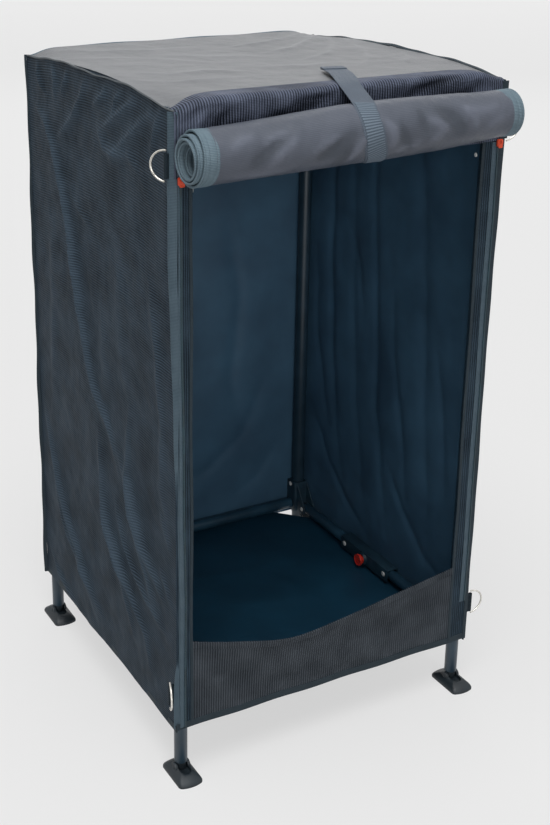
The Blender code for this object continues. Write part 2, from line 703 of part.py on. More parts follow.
def strap_path():
    """Points of the middle of the strap's inner face, from its seam on the roof to its end under the roll."""
    centre, radius = roll_section(STRAP_ROLL_X)
    wrap = radius + STRAP_OFF_ROLL
    edge_y = -COVER_OUT_Y
    edge_z = ROOF_TOP_Z + GAP
    away = math.hypot(edge_y - centre[0], edge_z - centre[1])
    bearing = math.atan2(edge_z - centre[1], edge_y - centre[0])
    first = bearing + math.acos(wrap / away)
    middle_x = (STRAP_ROOF_X + STRAP_EDGE_X) / 2
    points = [
        (STRAP_ROOF_X, edge_y + STRAP_ROOF_LENGTH, edge_z),
        (middle_x, edge_y + STRAP_ROOF_LENGTH / 2, edge_z),
        (STRAP_EDGE_X, edge_y, edge_z),
    ]
    points += [(STRAP_ROLL_X, y, z) for y, z in arc(centre, wrap, first, STRAP_END_ANGLE, STRAP_ARC_STEPS)]
    return points + [(STRAP_ROLL_X, edge_y - 2 * GAP, FRONT_OPENING_TOP_Z + STRAP_END_OVER_OPENING)]


def roll_strap_mesh():
    points = strap_path()

    def place(u, v):
        x, y, z = points[round(v * (len(points) - 1))]
        return x + STRAP_WIDTH * (u - 0.5), y, z
    return sheet("roll_strap", columns=1, rows=len(points) - 1, place=place, thickness=STRAP_CLOTH)


# Small fittings, drawn about their own origins

def ring_tab_mesh(reach):
    """A webbing loop about the ring's bar, sewn on at -X of it."""
    half = TAB_WIDTH / 2
    bore = RING_WIRE_RADIUS + GAP
    loop = bore + TAB_CLOTH
    web = box((-reach, -TAB_CLOTH, -half), (0, TAB_CLOTH, half))
    steps = [
        ("UNION", cylinder(loop, (0, 0, -half), (0, 0, half), TAB_SIDES)),
        ("DIFFERENCE", cylinder(bore, (0, 0, -TAB_WIDTH), (0, 0, TAB_WIDTH), TAB_SIDES)),
    ]
    return combined("ring_tab", web, steps)


def ring_mesh():
    """A D ring about its straight bar, with the bow towards +X."""
    curve = bpy.data.curves.new("ring", "CURVE")
    curve.dimensions = "3D"
    curve.bevel_depth = RING_WIRE_RADIUS
    curve.bevel_resolution = 1
    spline = curve.splines.new("POLY")
    spline.points.add(RING_STEPS)
    half_height = RING_INNER_HEIGHT / 2 + RING_WIRE_RADIUS
    for step, point in enumerate(spline.points):
        angle = math.pi * (step / RING_STEPS - 0.5)
        point.co = (RING_REACH * math.cos(angle), 0.0, half_height * math.sin(angle), 1.0)
    spline.use_cyclic_u = True
    item = helper_object("ring", curve)
    mesh = welded(evaluated_mesh(item, "ring"))
    bpy.data.objects.remove(item, do_unlink=True)
    return mesh


def zip_pull_mesh():
    """A zip slider with its tag hanging in front, about the slider's middle on the cloth."""
    slider = box((-SLIDER_SIZE.x / 2, -SLIDER_SIZE.y, -SLIDER_SIZE.z / 2),
                 (SLIDER_SIZE.x / 2, 0, SLIDER_SIZE.z / 2))
    tag_back = -SLIDER_SIZE.y + TAG_SIZE.y / 2
    tag = box((-TAG_SIZE.x / 2, tag_back - TAG_SIZE.y, -TAG_SIZE.z),
              (TAG_SIZE.x / 2, tag_back, 0))
    return combined("zip_pull", slider, [("UNION", tag)])


# Assembly

class Assembly:
    """Adds named pieces under one empty, each with its material."""

    def __init__(self, materials):
        self.materials = materials
        self.collection = bpy.data.collections[PARTS]
        self.middle = bpy.data.objects.new("middle_between_the_legs", None)
        self.collection.objects.link(self.middle)

    def add(self, name, mesh, material, location=(0, 0, 0), turn_z=0.0):
        mesh.name = name
        mesh.materials.clear()
        mesh.materials.append(self.materials[material])
        piece = bpy.data.objects.new(name, mesh)
        piece.location = location
        piece.rotation_euler.z = turn_z
        piece.parent = self.middle
        self.collection.objects.link(piece)
        return piece

    def centre_over_origin(self):
        bpy.context.view_layer.update()
        corners = [
            piece.matrix_world @ vert.co
            for piece in self.collection.objects if piece.type == "MESH"
            for vert in piece.data.vertices
        ]
        for axis in (0, 1):
            values = [corner[axis] for corner in corners]
            self.middle.location[axis] = -(min(values) + max(values)) / 2


SIDES = (("left", -1), ("right", 1))
ENDS = (("front", -1), ("rear", 1))
LEVELS = (("bottom", BOTTOM_RAIL_Z, 1), ("top", TOP_RAIL_Z, -1))


def add_end_frames(build):
    """Legs, cross rails, brackets, leg tips and feet of the front and rear frames."""
    leg, rail, bracket = leg_mesh(), cross_rail_mesh(), bracket_mesh()
    tip, foot = leg_tip_mesh(), foot_mesh()
    for end, end_sign in ENDS:
        y = end_sign * LEG_Y
        for side, side_sign in SIDES:
            x = side_sign * LEG_X
            build.add(f"{end}_{side}_leg", leg.copy(), "tube", (x, y, 0))
            build.add(f"{end}_{side}_leg_tip", tip.copy(), "moulded", (x, y, FOOT_PIN_Z))
            build.add(f"{end}_{side}_foot", foot.copy(), "moulded", (x, y, FOOT_PIN_Z))
            for level, z, up in LEVELS:
                shape = mirrored(bracket, (-side_sign, -end_sign, up))
                build.add(f"{end}_{side}_{level}_bracket", shape, "moulded", (x, y, z))
        for level, z, up in LEVELS:
            build.add(f"{end}_{level}_rail", rail.copy(), "tube", (0, y, z))


def add_side_rails(build):
    """Folding rails, each with its origin on the pivot or the bolt that it turns on."""
    rail, hub, button = half_rail_mesh(), hub_mesh(), button_mesh()
    for side, side_sign in SIDES:
        x = side_sign * LEG_X
        for level, z, up in LEVELS:
            name = f"{side}_{level}"
            build.add(f"{name}_front_half_rail", rail.copy(), "tube", (x, -PIVOT_Y, z))
            build.add(f"{name}_rear_half_rail", rail.copy(), "tube", (x, HUB_BOLT_Y, z))
            build.add(f"{name}_hub", mirrored(hub, (-side_sign, 1, up)), "moulded", (x, 0, z))
            build.add(f"{name}_lock_button", mirrored(button, (-side_sign, 1, 1)), "button", (x, 0, z))


def add_cover(build):
    build.add("roof_panel", roof_panel_mesh(), "roof")
    for side, side_sign in SIDES:
        name = f"{side}_side_panel"
        build.add(name, side_panel_mesh(name, side_sign), "ribbed")
    build.add("back_panel", back_panel_mesh(), "lining")
    build.add("floor_panel", floor_panel_mesh(), "lining")
    build.add("front_panel", front_panel_mesh(), "ribbed")
    build.add("kick_panel", kick_panel_mesh(), "ribbed")
    build.add("rolled_door", rolled_door_mesh(), "door")
    build.add("roll_strap", roll_strap_mesh(), "webbing")


def add_fittings(build):
    """Rings in their tabs on the front corners, and the pull of each door zip."""
    ring, pull = ring_mesh(), zip_pull_mesh()
    ring_y = -COVER_OUT_Y + TAB_BACK_FROM_FRONT
    for side, side_sign in SIDES:
        tab = ring_tab_mesh(TAB_OUT[side])
        bar_x = side_sign * (COVER_OUT_X + GAP + TAB_OUT[side])
        for level, z in (("lower", LOWER_RING_Z), ("upper", UPPER_RING_Z)):
            name = f"{side}_{level}"
            turn = math.pi - RING_TURNS[name] if side_sign < 0 else RING_TURNS[name]
            shape = mirrored(tab, (side_sign, 1, 1))
            build.add(f"{name}_ring_tab", shape, "webbing", (bar_x, ring_y, z))
            build.add(f"{name}_ring", ring.copy(), "steel", (bar_x, ring_y, z), turn)
        pull_x = side_sign * (COVER_OUT_X - ZIP_INSET)
        build.add(f"{side}_zip_pull", pull.copy(), "zip", (pull_x, -COVER_OUT_Y - GAP, ZIP_PULL_Z))


def main():
    clear_scene()
    new_collection(PARTS)
    new_collection(CUTTERS)
    build = Assembly(make_materials())
    add_end_frames(build)
    add_side_rails(build)
    add_cover(build)
    add_fittings(build)
    build.centre_over_origin()


main()
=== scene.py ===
import math

import bmesh
import bpy
import numpy as np
from mathutils import Matrix, Vector, noise


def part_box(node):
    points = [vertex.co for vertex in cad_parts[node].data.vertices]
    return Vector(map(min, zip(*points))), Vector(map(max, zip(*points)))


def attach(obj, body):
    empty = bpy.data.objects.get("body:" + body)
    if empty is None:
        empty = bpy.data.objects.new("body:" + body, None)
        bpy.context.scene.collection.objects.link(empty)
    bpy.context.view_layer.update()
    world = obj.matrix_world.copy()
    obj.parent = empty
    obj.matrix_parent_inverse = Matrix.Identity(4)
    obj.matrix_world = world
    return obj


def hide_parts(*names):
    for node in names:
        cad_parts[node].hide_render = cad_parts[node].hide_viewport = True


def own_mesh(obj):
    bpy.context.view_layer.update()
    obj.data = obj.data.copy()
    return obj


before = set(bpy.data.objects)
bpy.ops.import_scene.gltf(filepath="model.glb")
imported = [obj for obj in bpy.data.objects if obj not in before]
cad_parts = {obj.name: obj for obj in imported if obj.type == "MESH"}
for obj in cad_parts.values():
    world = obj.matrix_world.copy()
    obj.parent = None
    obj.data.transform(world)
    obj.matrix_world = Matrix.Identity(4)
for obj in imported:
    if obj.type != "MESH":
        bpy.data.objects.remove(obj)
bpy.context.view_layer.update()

# Sizes of the cupboard in metres, about the middle of its four legs
LEG_X = 0.276
LEG_Y = 0.2705
COVER_X = 0.2898
COVER_Y = 0.2843
CORNER_Z = 1.1045
ROOF_RISE = 0.0125
ROOF_HIGH = CORNER_Z + ROOF_RISE
HEM_FRONT_Z = 0.099
HEM_SIDE_FRONT_Z = 0.0915
# How far each side's hem climbs from its front end to its rear end
HEM_SIDE_RISES = {-1: 0.006, 1: -0.010}
HEM_REAR_Z = 0.083
OPENING_TOP_Z = 1.008
OPENING_EDGE = {"left": 0.2615, "right": 0.2518}
CLOTH = 0.0008
BOTTOM_RAIL_Z = 0.120
TOP_RAIL_Z = 1.0932
PIVOT_Y = 0.2325
HUB_BOLT_Y = 0.0675
SIDES = (("left", -1), ("right", 1))
ENDS = (("front", -1), ("rear", 1))
LEVELS = (("bottom", BOTTOM_RAIL_Z), ("top", TOP_RAIL_Z))


def middle_of_the_legs():
    """The point of the floor between the four legs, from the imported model."""
    low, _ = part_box("front_left_leg")
    _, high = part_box("rear_right_leg")
    return Vector(((low.x + high.x) / 2, (low.y + high.y) / 2, 0.0))


MIDDLE = middle_of_the_legs()


# Materials

def linear(hex_colour):
    """An sRGB hex colour as the linear RGBA that Blender's sockets take."""
    values = [int(hex_colour[start:start + 2], 16) / 255 for start in (1, 3, 5)]
    return [v / 12.92 if v <= 0.04045 else ((v + 0.055) / 1.055) ** 2.4 for v in values] + [1.0]


def add(tree, kind, inputs, output=0, **settings):
    """Adds a node with its settings, fills or links its inputs, and gives one of its outputs."""
    node = tree.nodes.new("ShaderNode" + kind)
    for key, value in settings.items():
        setattr(node, key, value)
    for key, value in inputs.items():
        if isinstance(value, bpy.types.NodeSocket):
            tree.links.new(value, node.inputs[key])
        else:
            node.inputs[key].default_value = value
    return node.outputs[output]


def new_material(name, roughness, **shader_inputs):
    """A material with one Principled shader, and the tree and shader to build on."""
    material = bpy.data.materials.new(name)
    material.use_nodes = True
    shader = material.node_tree.nodes["Principled BSDF"]
    shader.inputs["Roughness"].default_value = roughness
    for key, value in shader_inputs.items():
        shader.inputs[key.replace("_", " ")].default_value = value
    return material, material.node_tree, shader


def surface(tree, shader, shade, colours, stops, height=None, depth=0.0):
    """Colours a surface from dark to light as its shade passes two stops, and raises it by its height."""
    ramp = add(tree, "ValToRGB", {"Fac": shade})
    for stop, place, colour in zip(ramp.node.color_ramp.elements, stops, colours):
        stop.position = place
        stop.color = linear(colour)
    tree.links.new(ramp, shader.inputs["Base Color"])
    if height:
        bump = add(tree, "Bump", {"Height": height, "Distance": depth, "Strength": 1.0})
        tree.links.new(bump, shader.inputs["Normal"])


def threads(tree, coordinate, spacing):
    """A wave from 0 to 1 with one crest for each spacing along a coordinate in metres."""
    turn = add(tree, "Math", {0: coordinate, 1: 2 * math.pi / spacing}, operation="MULTIPLY")
    wave = add(tree, "Math", {0: turn}, operation="SINE")
    return add(tree, "Math", {0: wave, 1: 0.5, 2: 0.5}, operation="MULTIPLY_ADD")


def flat_coordinates(tree):
    """The cloth's own flat coordinates in metres, across and along, from its UV map."""
    flat = add(tree, "UVMap", {}, uv_map="flat")
    across = add(tree, "SeparateXYZ", {0: flat})
    return flat, across, across.node.outputs[1]


def painted_fold_shade(tree, shade, amount):
    """Paints shade on folds: their crests paler and their valleys darker, by the height kept for each point.
    """
    height = add(tree, "Attribute", {}, "Fac", attribute_name="crest")
    return add(tree, "Math", {0: height, 1: amount, 2: shade}, operation="MULTIPLY_ADD")


def creased(tree, flat, weave, weave_share, size):
    """A height from 0 to 1: a fine weave on top of the soft creases that cloth keeps from its folding."""
    soft = add(tree, "TexNoise", {"Vector": flat, "Scale": 1 / size, "Detail": 3.0})
    return add(tree, "Math", {0: weave, 1: weave_share, 2: soft}, operation="MULTIPLY_ADD")


def ribbed_polyester(name, *colours):
    """Rib-woven polyester: raised ribs with a paler crest, painted as a highlight, over soft creases. Patches
    of light and shade are painted on it, and its folds get painted shade: paler crests, darker valleys.
    """
    material, tree, shader = new_material(name, 0.6, Specular_IOR_Level=0.08)
    flat, across, along = flat_coordinates(tree)
    # The real yarn is about 0.5 mm, too fine to show, so a rib is drawn 4.4 mm wide, with 2.4 mm dashes.
    woven = add(tree, "Mix", {0: 0.25, 2: threads(tree, along, 0.0044), 3: threads(tree, across, 0.0024)})
    # Large soft patches of painted light and shade, which stand in for the light that the creases catch.
    patchy_tone = add(tree, "TexNoise", {"Vector": flat, "Scale": 1 / 0.06, "Detail": 4.0})
    painted_light_patches = add(tree, "MapRange", {0: patchy_tone, 1: 0.33, 2: 0.67})
    # The folds are painted with shade: paler crests and darker valleys.
    shade = painted_fold_shade(tree, add(tree, "Mix", {0: 0.30, 2: woven, 3: painted_light_patches}), 0.42)
    surface(tree, shader, shade, colours, (0.12, 0.88), creased(tree, flat, woven, 0.075, 0.055), 0.012)
    return material


def plain_polyester(name, dark, light, roughness, crease, crest):
    """Plain-woven polyester: an even fine grain over soft creases, and faint rubbed patches. Its folds get
    painted shade, paler on crests and darker in valleys, by its crest amount.
    """
    material, tree, shader = new_material(name, roughness, Specular_IOR_Level=0.15)
    flat, across, along = flat_coordinates(tree)
    # The real yarn is 0.3 mm, too fine to show, so the weave is drawn at 1.8 mm.
    warp, weft = threads(tree, across, 0.0018), threads(tree, along, 0.0018)
    weave = add(tree, "Math", {0: warp, 1: weft}, operation="MULTIPLY")
    patchy_tone = add(tree, "TexNoise", {"Vector": flat, "Scale": 1 / 0.16, "Detail": 4.0})
    # The folds are painted with shade: paler crests and darker valleys.
    shade = painted_fold_shade(tree, add(tree, "Mix", {0: 0.7, 2: weave, 3: patchy_tone}), crest)
    height = creased(tree, flat, weave, 0.00025 / crease, 0.07)
    surface(tree, shader, shade, (dark, light), (0.2, 0.75), height, crease)
    rough = add(tree, "MapRange", {0: patchy_tone, 3: roughness - 0.06, 4: roughness + 0.08})
    tree.links.new(rough, shader.inputs["Roughness"])
    return material


def coated_lining(name, *colours):
    """Polyurethane coating on the inner face: nearly smooth, cold in colour and a little glossy."""
    material, tree, shader = new_material(name, 0.48)
    flat = flat_coordinates(tree)[0]
    blotches = add(tree, "TexNoise", {"Vector": flat, "Scale": 1 / 0.12, "Detail": 3.0})
    grain = add(tree, "TexNoise", {"Vector": flat, "Scale": 1 / 0.0022, "Detail": 2.0})
    surface(tree, shader, blotches, colours, (0.3, 0.7), grain, 0.0002)
    return material


def grosgrain_tape(name, *colours):
    """Grosgrain binding tape: close cross ribs that take the light in a soft band."""
    material, tree, shader = new_material(name, 0.6, Specular_IOR_Level=0.2)
    flat, _, along = flat_coordinates(tree)
    # Real grosgrain ribs are 0.8 mm apart, drawn here at 2.2 mm so that they show.
    ribs = threads(tree, along, 0.0022)
    worn = add(tree, "TexNoise", {"Vector": flat, "Scale": 1 / 0.03, "Detail": 3.0})
    shade = add(tree, "Mix", {0: 0.5, 2: ribs, 3: worn})
    surface(tree, shader, shade, colours, (0.2, 0.8), ribs, 0.0003)
    return material


def strap_webbing(name, *colours):
    """Polypropylene webbing: a herringbone of thick yarns, 2.4 mm apart, with a slight shine."""
    material, tree, shader = new_material(name, 0.55, Specular_IOR_Level=0.12)
    flat, across, along = flat_coordinates(tree)
    folded = add(tree, "Math", {0: across, 1: 0.004}, operation="PINGPONG")
    yarns = threads(tree, add(tree, "Math", {0: along, 1: folded}, operation="ADD"), 0.0024)
    worn = add(tree, "TexNoise", {"Vector": flat, "Scale": 1 / 0.02, "Detail": 3.0})
    shade = add(tree, "Mix", {0: 0.35, 2: yarns, 3: worn})
    surface(tree, shader, shade, colours, (0.15, 0.85), yarns, 0.0005)
    return material


def loop_fastener(name, *colours):
    """The loop half of a hook-and-loop fastener: a felt of tiny loops in rows across the strap."""
    material, tree, shader = new_material(name, 0.85, Specular_IOR_Level=0.2)
    flat, _, along = flat_coordinates(tree)
    fuzz = add(tree, "TexNoise", {"Vector": flat, "Scale": 1 / 0.0012, "Detail": 4.0})
    shade = add(tree, "Mix", {0: 0.5, 2: threads(tree, along, 0.0042), 3: fuzz})
    surface(tree, shader, shade, colours, (0.25, 0.75), shade, 0.0009)
    return material


def powder_coated_steel(name, *colours):
    """Powder-coated steel tube: a fine orange-peel surface, half matt, rubbed paler in places."""
    material, tree, shader = new_material(name, 0.42, Coat_Weight=0.1, Coat_Roughness=0.3)
    place = add(tree, "TexCoord", {}, "Object")
    # Orange peel is about 1 mm across, drawn at 1.6 mm.
    peel = add(tree, "TexNoise", {"Vector": place, "Scale": 1 / 0.0016, "Detail": 1.0})
    patchy_tone = add(tree, "TexNoise", {"Vector": place, "Scale": 1 / 0.05, "Detail": 4.0})
    surface(tree, shader, patchy_tone, colours, (0.35, 0.75), peel, 0.00012)
    return material


def moulded_nylon(name, dark, light, roughness=0.5):
    """Injection-moulded nylon: an even spark-eroded grain that breaks up the highlight."""
    material, tree, shader = new_material(name, roughness)
    place = add(tree, "TexCoord", {}, "Object")
    # Spark-eroded grain is about 0.2 mm, drawn at 0.9 mm.
    grain = add(tree, "TexNoise", {"Vector": place, "Scale": 1 / 0.0009, "Detail": 2.0})
    handled = add(tree, "TexNoise", {"Vector": place, "Scale": 1 / 0.02, "Detail": 3.0})
    surface(tree, shader, handled, (dark, light), (0.3, 0.75), grain, 0.0001)
    rough = add(tree, "MapRange", {0: handled, 3: roughness - 0.1, 4: roughness + 0.1})
    tree.links.new(rough, shader.inputs["Roughness"])
    return material


def plated_steel(name, *colours):
    """Nickel-plated steel wire: bright, with faint drawing marks and dull spots."""
    material, tree, shader = new_material(name, 0.22, Metallic=0.6)
    place = add(tree, "TexCoord", {}, "Object")
    spots = add(tree, "TexNoise", {"Vector": place, "Scale": 1 / 0.004, "Detail": 3.0})
    surface(tree, shader, spots, colours, (0.3, 0.7))
    tree.links.new(add(tree, "MapRange", {0: spots, 3: 0.14, 4: 0.34}), shader.inputs["Roughness"])
    return material


MATERIALS = {
    "side cloth": ribbed_polyester("ribbed_polyester_sides", "#121a21", "#455360"),
    "front cloth": ribbed_polyester("ribbed_polyester_front", "#0b0f17", "#6c7488"),
    "kick cloth": ribbed_polyester("ribbed_polyester_kick", "#1b2127", "#52585f"),
    # The strips' copy of the ribbed cloth is darker than the band's: its darker colours carry painted shade.
    "strip cloth": ribbed_polyester("ribbed_polyester_strips_painted_shade", "#101a22", "#3d4d5a"),
    "roof cloth": plain_polyester("plain_polyester_roof", "#6c6e71", "#7c7e81", 0.5, 0.008, 0.6),
    "door cloth": plain_polyester("plain_polyester_door", "#4b5059", "#676c78", 0.34, 0.010, 1.0),
    # Both linings are painted lighter than the coating's own colour, standing in for the light that reaches
    # the inside of the cupboard.
    "lining": coated_lining("coated_polyester_lining", "#345168", "#42657e"),
    "dark lining": coated_lining("coated_polyester_floor", "#0e3347", "#17435a"),
    "edge tape": grosgrain_tape("grosgrain_edge_tape", "#546672", "#74868f"),
    "piping": grosgrain_tape("grosgrain_piping", "#4d5357", "#6b7175"),
    "zip tape": grosgrain_tape("woven_zip_tape", "#3d4d58", "#566772"),
    "dark tape": grosgrain_tape("grosgrain_dark_tape", "#1f2a31", "#313d45"),
    "webbing": strap_webbing("polypropylene_webbing", "#505964", "#66707d"),
    "dark webbing": strap_webbing("polypropylene_webbing_dark", "#141e25", "#26323a"),
    "loop": loop_fastener("nylon_loop_fastener", "#4a5560", "#73808d"),
    "coil": moulded_nylon("nylon_zip_coil", "#102830", "#1f3f4a", 0.35),
    "tube": powder_coated_steel("powder_coated_steel", "#1b2f3c", "#293f4e"),
    "rail": powder_coated_steel("powder_coated_rails", "#1c3748", "#2a4d62"),
    "moulded": moulded_nylon("moulded_nylon_black", "#0f181e", "#1b262d"),
    "hub": moulded_nylon("moulded_nylon_hubs", "#162a38", "#22404f"),
    "red": moulded_nylon("moulded_nylon_red", "#cc261d", "#e8402f", 0.4),
    "orange": moulded_nylon("moulded_pull_orange", "#d4431f", "#f05a33", 0.45),
    "steel": plated_steel("nickel_plated_steel", "#cfccc4", "#f0ede6"),
    # The pale heads of rivets, bolts and screws are a painted glint, standing in for the light that their
    # metal catches.
    "cap": moulded_nylon("pale_painted_glint", "#d9d9d6", "#f0f0ec", 0.4),
    "thread": moulded_nylon("polyester_thread", "#3a444c", "#59646d", 0.7),
}


# Modelling helpers

CYLINDER = bpy.ops.mesh.primitive_cylinder_add
CUBE = bpy.ops.mesh.primitive_cube_add


def select_only(*pieces):
    bpy.ops.object.select_all(action="DESELECT")
    for piece in pieces:
        piece.select_set(True)
    bpy.context.view_layer.objects.active = pieces[0]


def settle(piece):
    """Puts the object's place into its mesh, so that the object sits at the origin."""
    select_only(piece)
    bpy.ops.object.transform_apply(location=True, rotation=True, scale=True)


def named(piece, name):
    piece.name = name
    piece.data.name = name
    return piece


def start(primitive, name, **settings):
    """Adds a primitive with nothing else selected, names it and settles it."""
    bpy.ops.object.select_all(action="DESELECT")
    primitive(**settings)
    piece = named(bpy.context.active_object, name)
    settle(piece)
    return piece


def discard(*pieces):
    for piece in pieces:
        bpy.data.objects.remove(piece, do_unlink=True)


def pick(piece, kind, test=lambda item: True):
    """Goes into edit mode with only those vertices, edges or faces selected that pass a test."""
    select_only(piece)
    bpy.ops.object.mode_set(mode="EDIT")
    bpy.ops.mesh.select_mode(type=kind)
    bpy.ops.mesh.select_all(action="DESELECT")
    bm = bmesh.from_edit_mesh(piece.data)
    items = {"VERT": bm.verts, "EDGE": bm.edges, "FACE": bm.faces}[kind]
    for item in items:
        item.select_set(bool(test(item)))
    bmesh.update_edit_mesh(piece.data)


def leave_edit():
    bpy.ops.object.mode_set(mode="OBJECT")


def push(move):
    """Extrudes the picked faces and moves them."""
    bpy.ops.mesh.extrude_region_move(TRANSFORM_OT_translate={"value": move})


def grow(factor, centre):
    bpy.ops.transform.resize(value=(factor, factor, factor), center_override=centre)


def apply_modifier(piece, kind, **settings):
    """Adds a modifier and applies it."""
    select_only(piece)
    modifier = piece.modifiers.new(kind.lower(), kind)
    for key, value in settings.items():
        setattr(modifier, key, value)
    bpy.ops.object.modifier_apply(modifier=modifier.name)


def smooth(piece, degrees):
    select_only(piece)
    bpy.ops.object.shade_smooth_by_angle(angle=math.radians(degrees))
    return piece


def softened(piece, width, degrees, smooth_degrees):
    """Rounds a piece's edges where they are sharper than an angle, and shades it smooth."""
    apply_modifier(
        piece, "BEVEL", width=width, segments=2, limit_method="ANGLE", angle_limit=math.radians(degrees),
    )
    return smooth(piece, smooth_degrees)


def right_side_out(piece):
    """Turns the faces of a closed piece outwards."""
    pick(piece, "FACE")
    bpy.ops.mesh.normals_make_consistent(inside=False)
    leave_edit()


def new_piece(name, points, faces):
    mesh = bpy.data.meshes.new(name)
    mesh.from_pydata(points, [], faces)
    piece = bpy.data.objects.new(name, mesh)
    bpy.context.scene.collection.objects.link(piece)
    return piece


def finished(piece, body, material=None, replaces=()):
    """Moves a piece from the cupboard's middle into the frame, and gives it its body, slot and material."""
    piece.data.transform(Matrix.Translation(MIDDLE))
    if material:
        piece.data.materials.clear()
        piece.data.materials.append(MATERIALS[material])
    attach(piece, body)
    if replaces:
        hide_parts(*replaces)
    return piece


def placed(shape, name, place, body, material, replaces=()):
    """Finishes a copy of a shape, with its own mesh, at a place. A mirrored copy is turned right side out."""
    piece = shape.copy()
    piece.data = shape.data.copy()
    named(piece, name)
    bpy.context.scene.collection.objects.link(piece)
    piece.data.transform(place)
    if place.determinant() < 0:
        piece.data.flip_normals()
    return finished(piece, body, material, replaces)


# Cloth helpers

# The fold height at which a crest gets the full painted shade
FULL_CREST = 0.004


def rows(*parts):
    """Arrays of x, y and z as one array with a point in each row."""
    return np.stack(np.broadcast_arrays(*parts), axis=-1)


def lay_flat(mesh, flat):
    """Gives a mesh its flat map in metres, from a flat place for each vertex."""
    loops = np.zeros(len(mesh.loops), int)
    mesh.loops.foreach_get("vertex_index", loops)
    mesh.uv_layers.new(name="flat").data.foreach_set("uv", flat[loops].ravel())


def grid_piece(name, columns, rungs, place, size, crest=None):
    """A sheet drawn by a function of arrays u and v from 0 to 1, with a flat map of its size.

    A second function may give each point's height on its folds, from which the cloth's material paints shade
    on the folds.
    """
    u, v = np.meshgrid(np.linspace(0, 1, columns + 1), np.linspace(0, 1, rungs + 1))
    points = rows(*place(u, v)).reshape(-1, 3)
    index = np.arange((columns + 1) * (rungs + 1)).reshape(rungs + 1, columns + 1)
    faces = rows(index[:-1, :-1], index[:-1, 1:], index[1:, 1:], index[1:, :-1]).reshape(-1, 4)
    piece = new_piece(name, points.tolist(), faces.tolist())
    lay_flat(piece.data, rows(u * size[0], v * size[1]).reshape(-1, 2))
    if crest:
        layer = piece.data.attributes.new("crest", "FLOAT", "POINT")
        layer.data.foreach_set("value", np.asarray(crest(u, v), np.float32).ravel() / FULL_CREST)
    return piece


def swap_flat(piece):
    """Turns the cloth's flat map a quarter, for ribs that run up instead of across."""
    layer = piece.data.uv_layers["flat"].data
    values = np.zeros(len(layer) * 2)
    layer.foreach_get("uv", values)
    layer.foreach_set("uv", values.reshape(-1, 2)[:, ::-1].ravel())


def thickened(piece, outer, inner=None, thickness=CLOTH, facing=None):
    """Gives a sheet its thickness behind its outer face, which looks a given way, and its materials."""
    if facing:
        look = sum((face.normal * face.area for face in piece.data.polygons), Vector())
        if look.dot(Vector(facing)) < 0:
            piece.data.flip_normals()
    piece.data.materials.append(MATERIALS[outer])
    piece.data.materials.append(MATERIALS[inner or outer])
    apply_modifier(
        piece, "SOLIDIFY", thickness=thickness, offset=-1.0, material_offset=1, material_offset_rim=0,
    )
    return smooth(piece, 60)


def crumpled(a, b, size, seed):
    """Soft random relief from about -1 to 1, the same each run."""
    flat_a, flat_b = np.broadcast_arrays(a, b)
    values = [
        noise.fractal(Vector((x / size, y / size, seed)), 0.8, 2.1, 3)
        for x, y in zip(flat_a.ravel(), flat_b.ravel())
    ]
    return np.array(values).reshape(flat_a.shape)


def folds(a, b, lines):
    """The relief of a set of folds: each is its height, its width and then its points, in mm."""
    total = np.zeros(np.broadcast(a, b).shape)
    for height, width, *places in lines:
        path = np.array(places, float).reshape(-1, 2) / 1000
        nearest = np.full(total.shape, 9.0)
        along = np.zeros(total.shape)
        run = 0.0
        for first, last in zip(path[:-1], path[1:]):
            step = last - first
            length = float(np.hypot(*step))
            share = np.clip(((a - first[0]) * step[0] + (b - first[1]) * step[1]) / length ** 2, 0, 1)
            distance = np.hypot(a - first[0] - share * step[0], b - first[1] - share * step[1])
            closer = distance < nearest
            along = np.where(closer, run + share * length, along)
            nearest = np.where(closer, distance, nearest)
            run += length
        fade = np.sin(math.pi * np.clip(along / run, 0.02, 0.98)) ** 0.6
        total += height / 1000 * fade / (1 + (nearest / width * 1000) ** 2) ** 1.5
    return total


def span(share):
    """0 at both ends of a span and 1 in its middle."""
    return np.sin(math.pi * share)


def near_edges(share, width):
    """Rises from 0 at either end of a span to 1 within a share of it."""
    return np.clip(np.minimum(share, 1 - share) / width, 0, 1)


def loft(name, points, sides, centres, places_across):
    """Skins rings of points along a line into a closed piece, with a flat map across and along it."""
    along = np.concatenate(([0], np.cumsum(np.linalg.norm(np.diff(centres, axis=0), axis=1))))
    faces = []
    flat = []
    for row in range(len(centres) - 1):
        first, second = row * sides, (row + 1) * sides
        for side in range(sides):
            after = (side + 1) % sides
            faces.append((first + side, first + after, second + after, second + side))
            left, right = places_across[side], places_across[after]
            flat += [(left, along[row]), (right, along[row]), (right, along[row + 1]), (left, along[row + 1])]
    last = (len(centres) - 1) * sides
    faces.append(tuple(reversed(range(sides))))
    faces.append(tuple(last + side for side in range(sides)))
    flat += [(0.0, 0.0)] * sides + [(0.0, along[-1])] * sides
    piece = new_piece(name, [tuple(p) for p in points], faces)
    piece.data.uv_layers.new(name="flat").data.foreach_set("uv", np.array(flat).ravel())
    right_side_out(piece)
    return smooth(piece, 50)


def strip(name, centres, across, outwards, width, thickness):
    """A flat band of cloth along a line of points, with its directions across and outwards at each."""
    across, outwards = (np.broadcast_to(np.array(item, float), centres.shape) for item in (across, outwards))
    widths = np.broadcast_to(np.array(width, float), len(centres))
    half = thickness / 2
    outline = ((-1, -half * 0.6), (-0.94, -half), (0, -half), (0.94, -half), (1, -half * 0.6),
               (1, half * 0.6), (0.94, half), (0, half), (-0.94, half), (-1, half * 0.6))
    points = []
    for centre, side, out, band in zip(centres, across, outwards, widths):
        side = side / np.linalg.norm(side)
        out = out / np.linalg.norm(out)
        points += [centre + side * share * band / 2 + out * rise for share, rise in outline]
    return loft(name, points, len(outline), centres, [share * widths[0] / 2 for share, rise in outline])


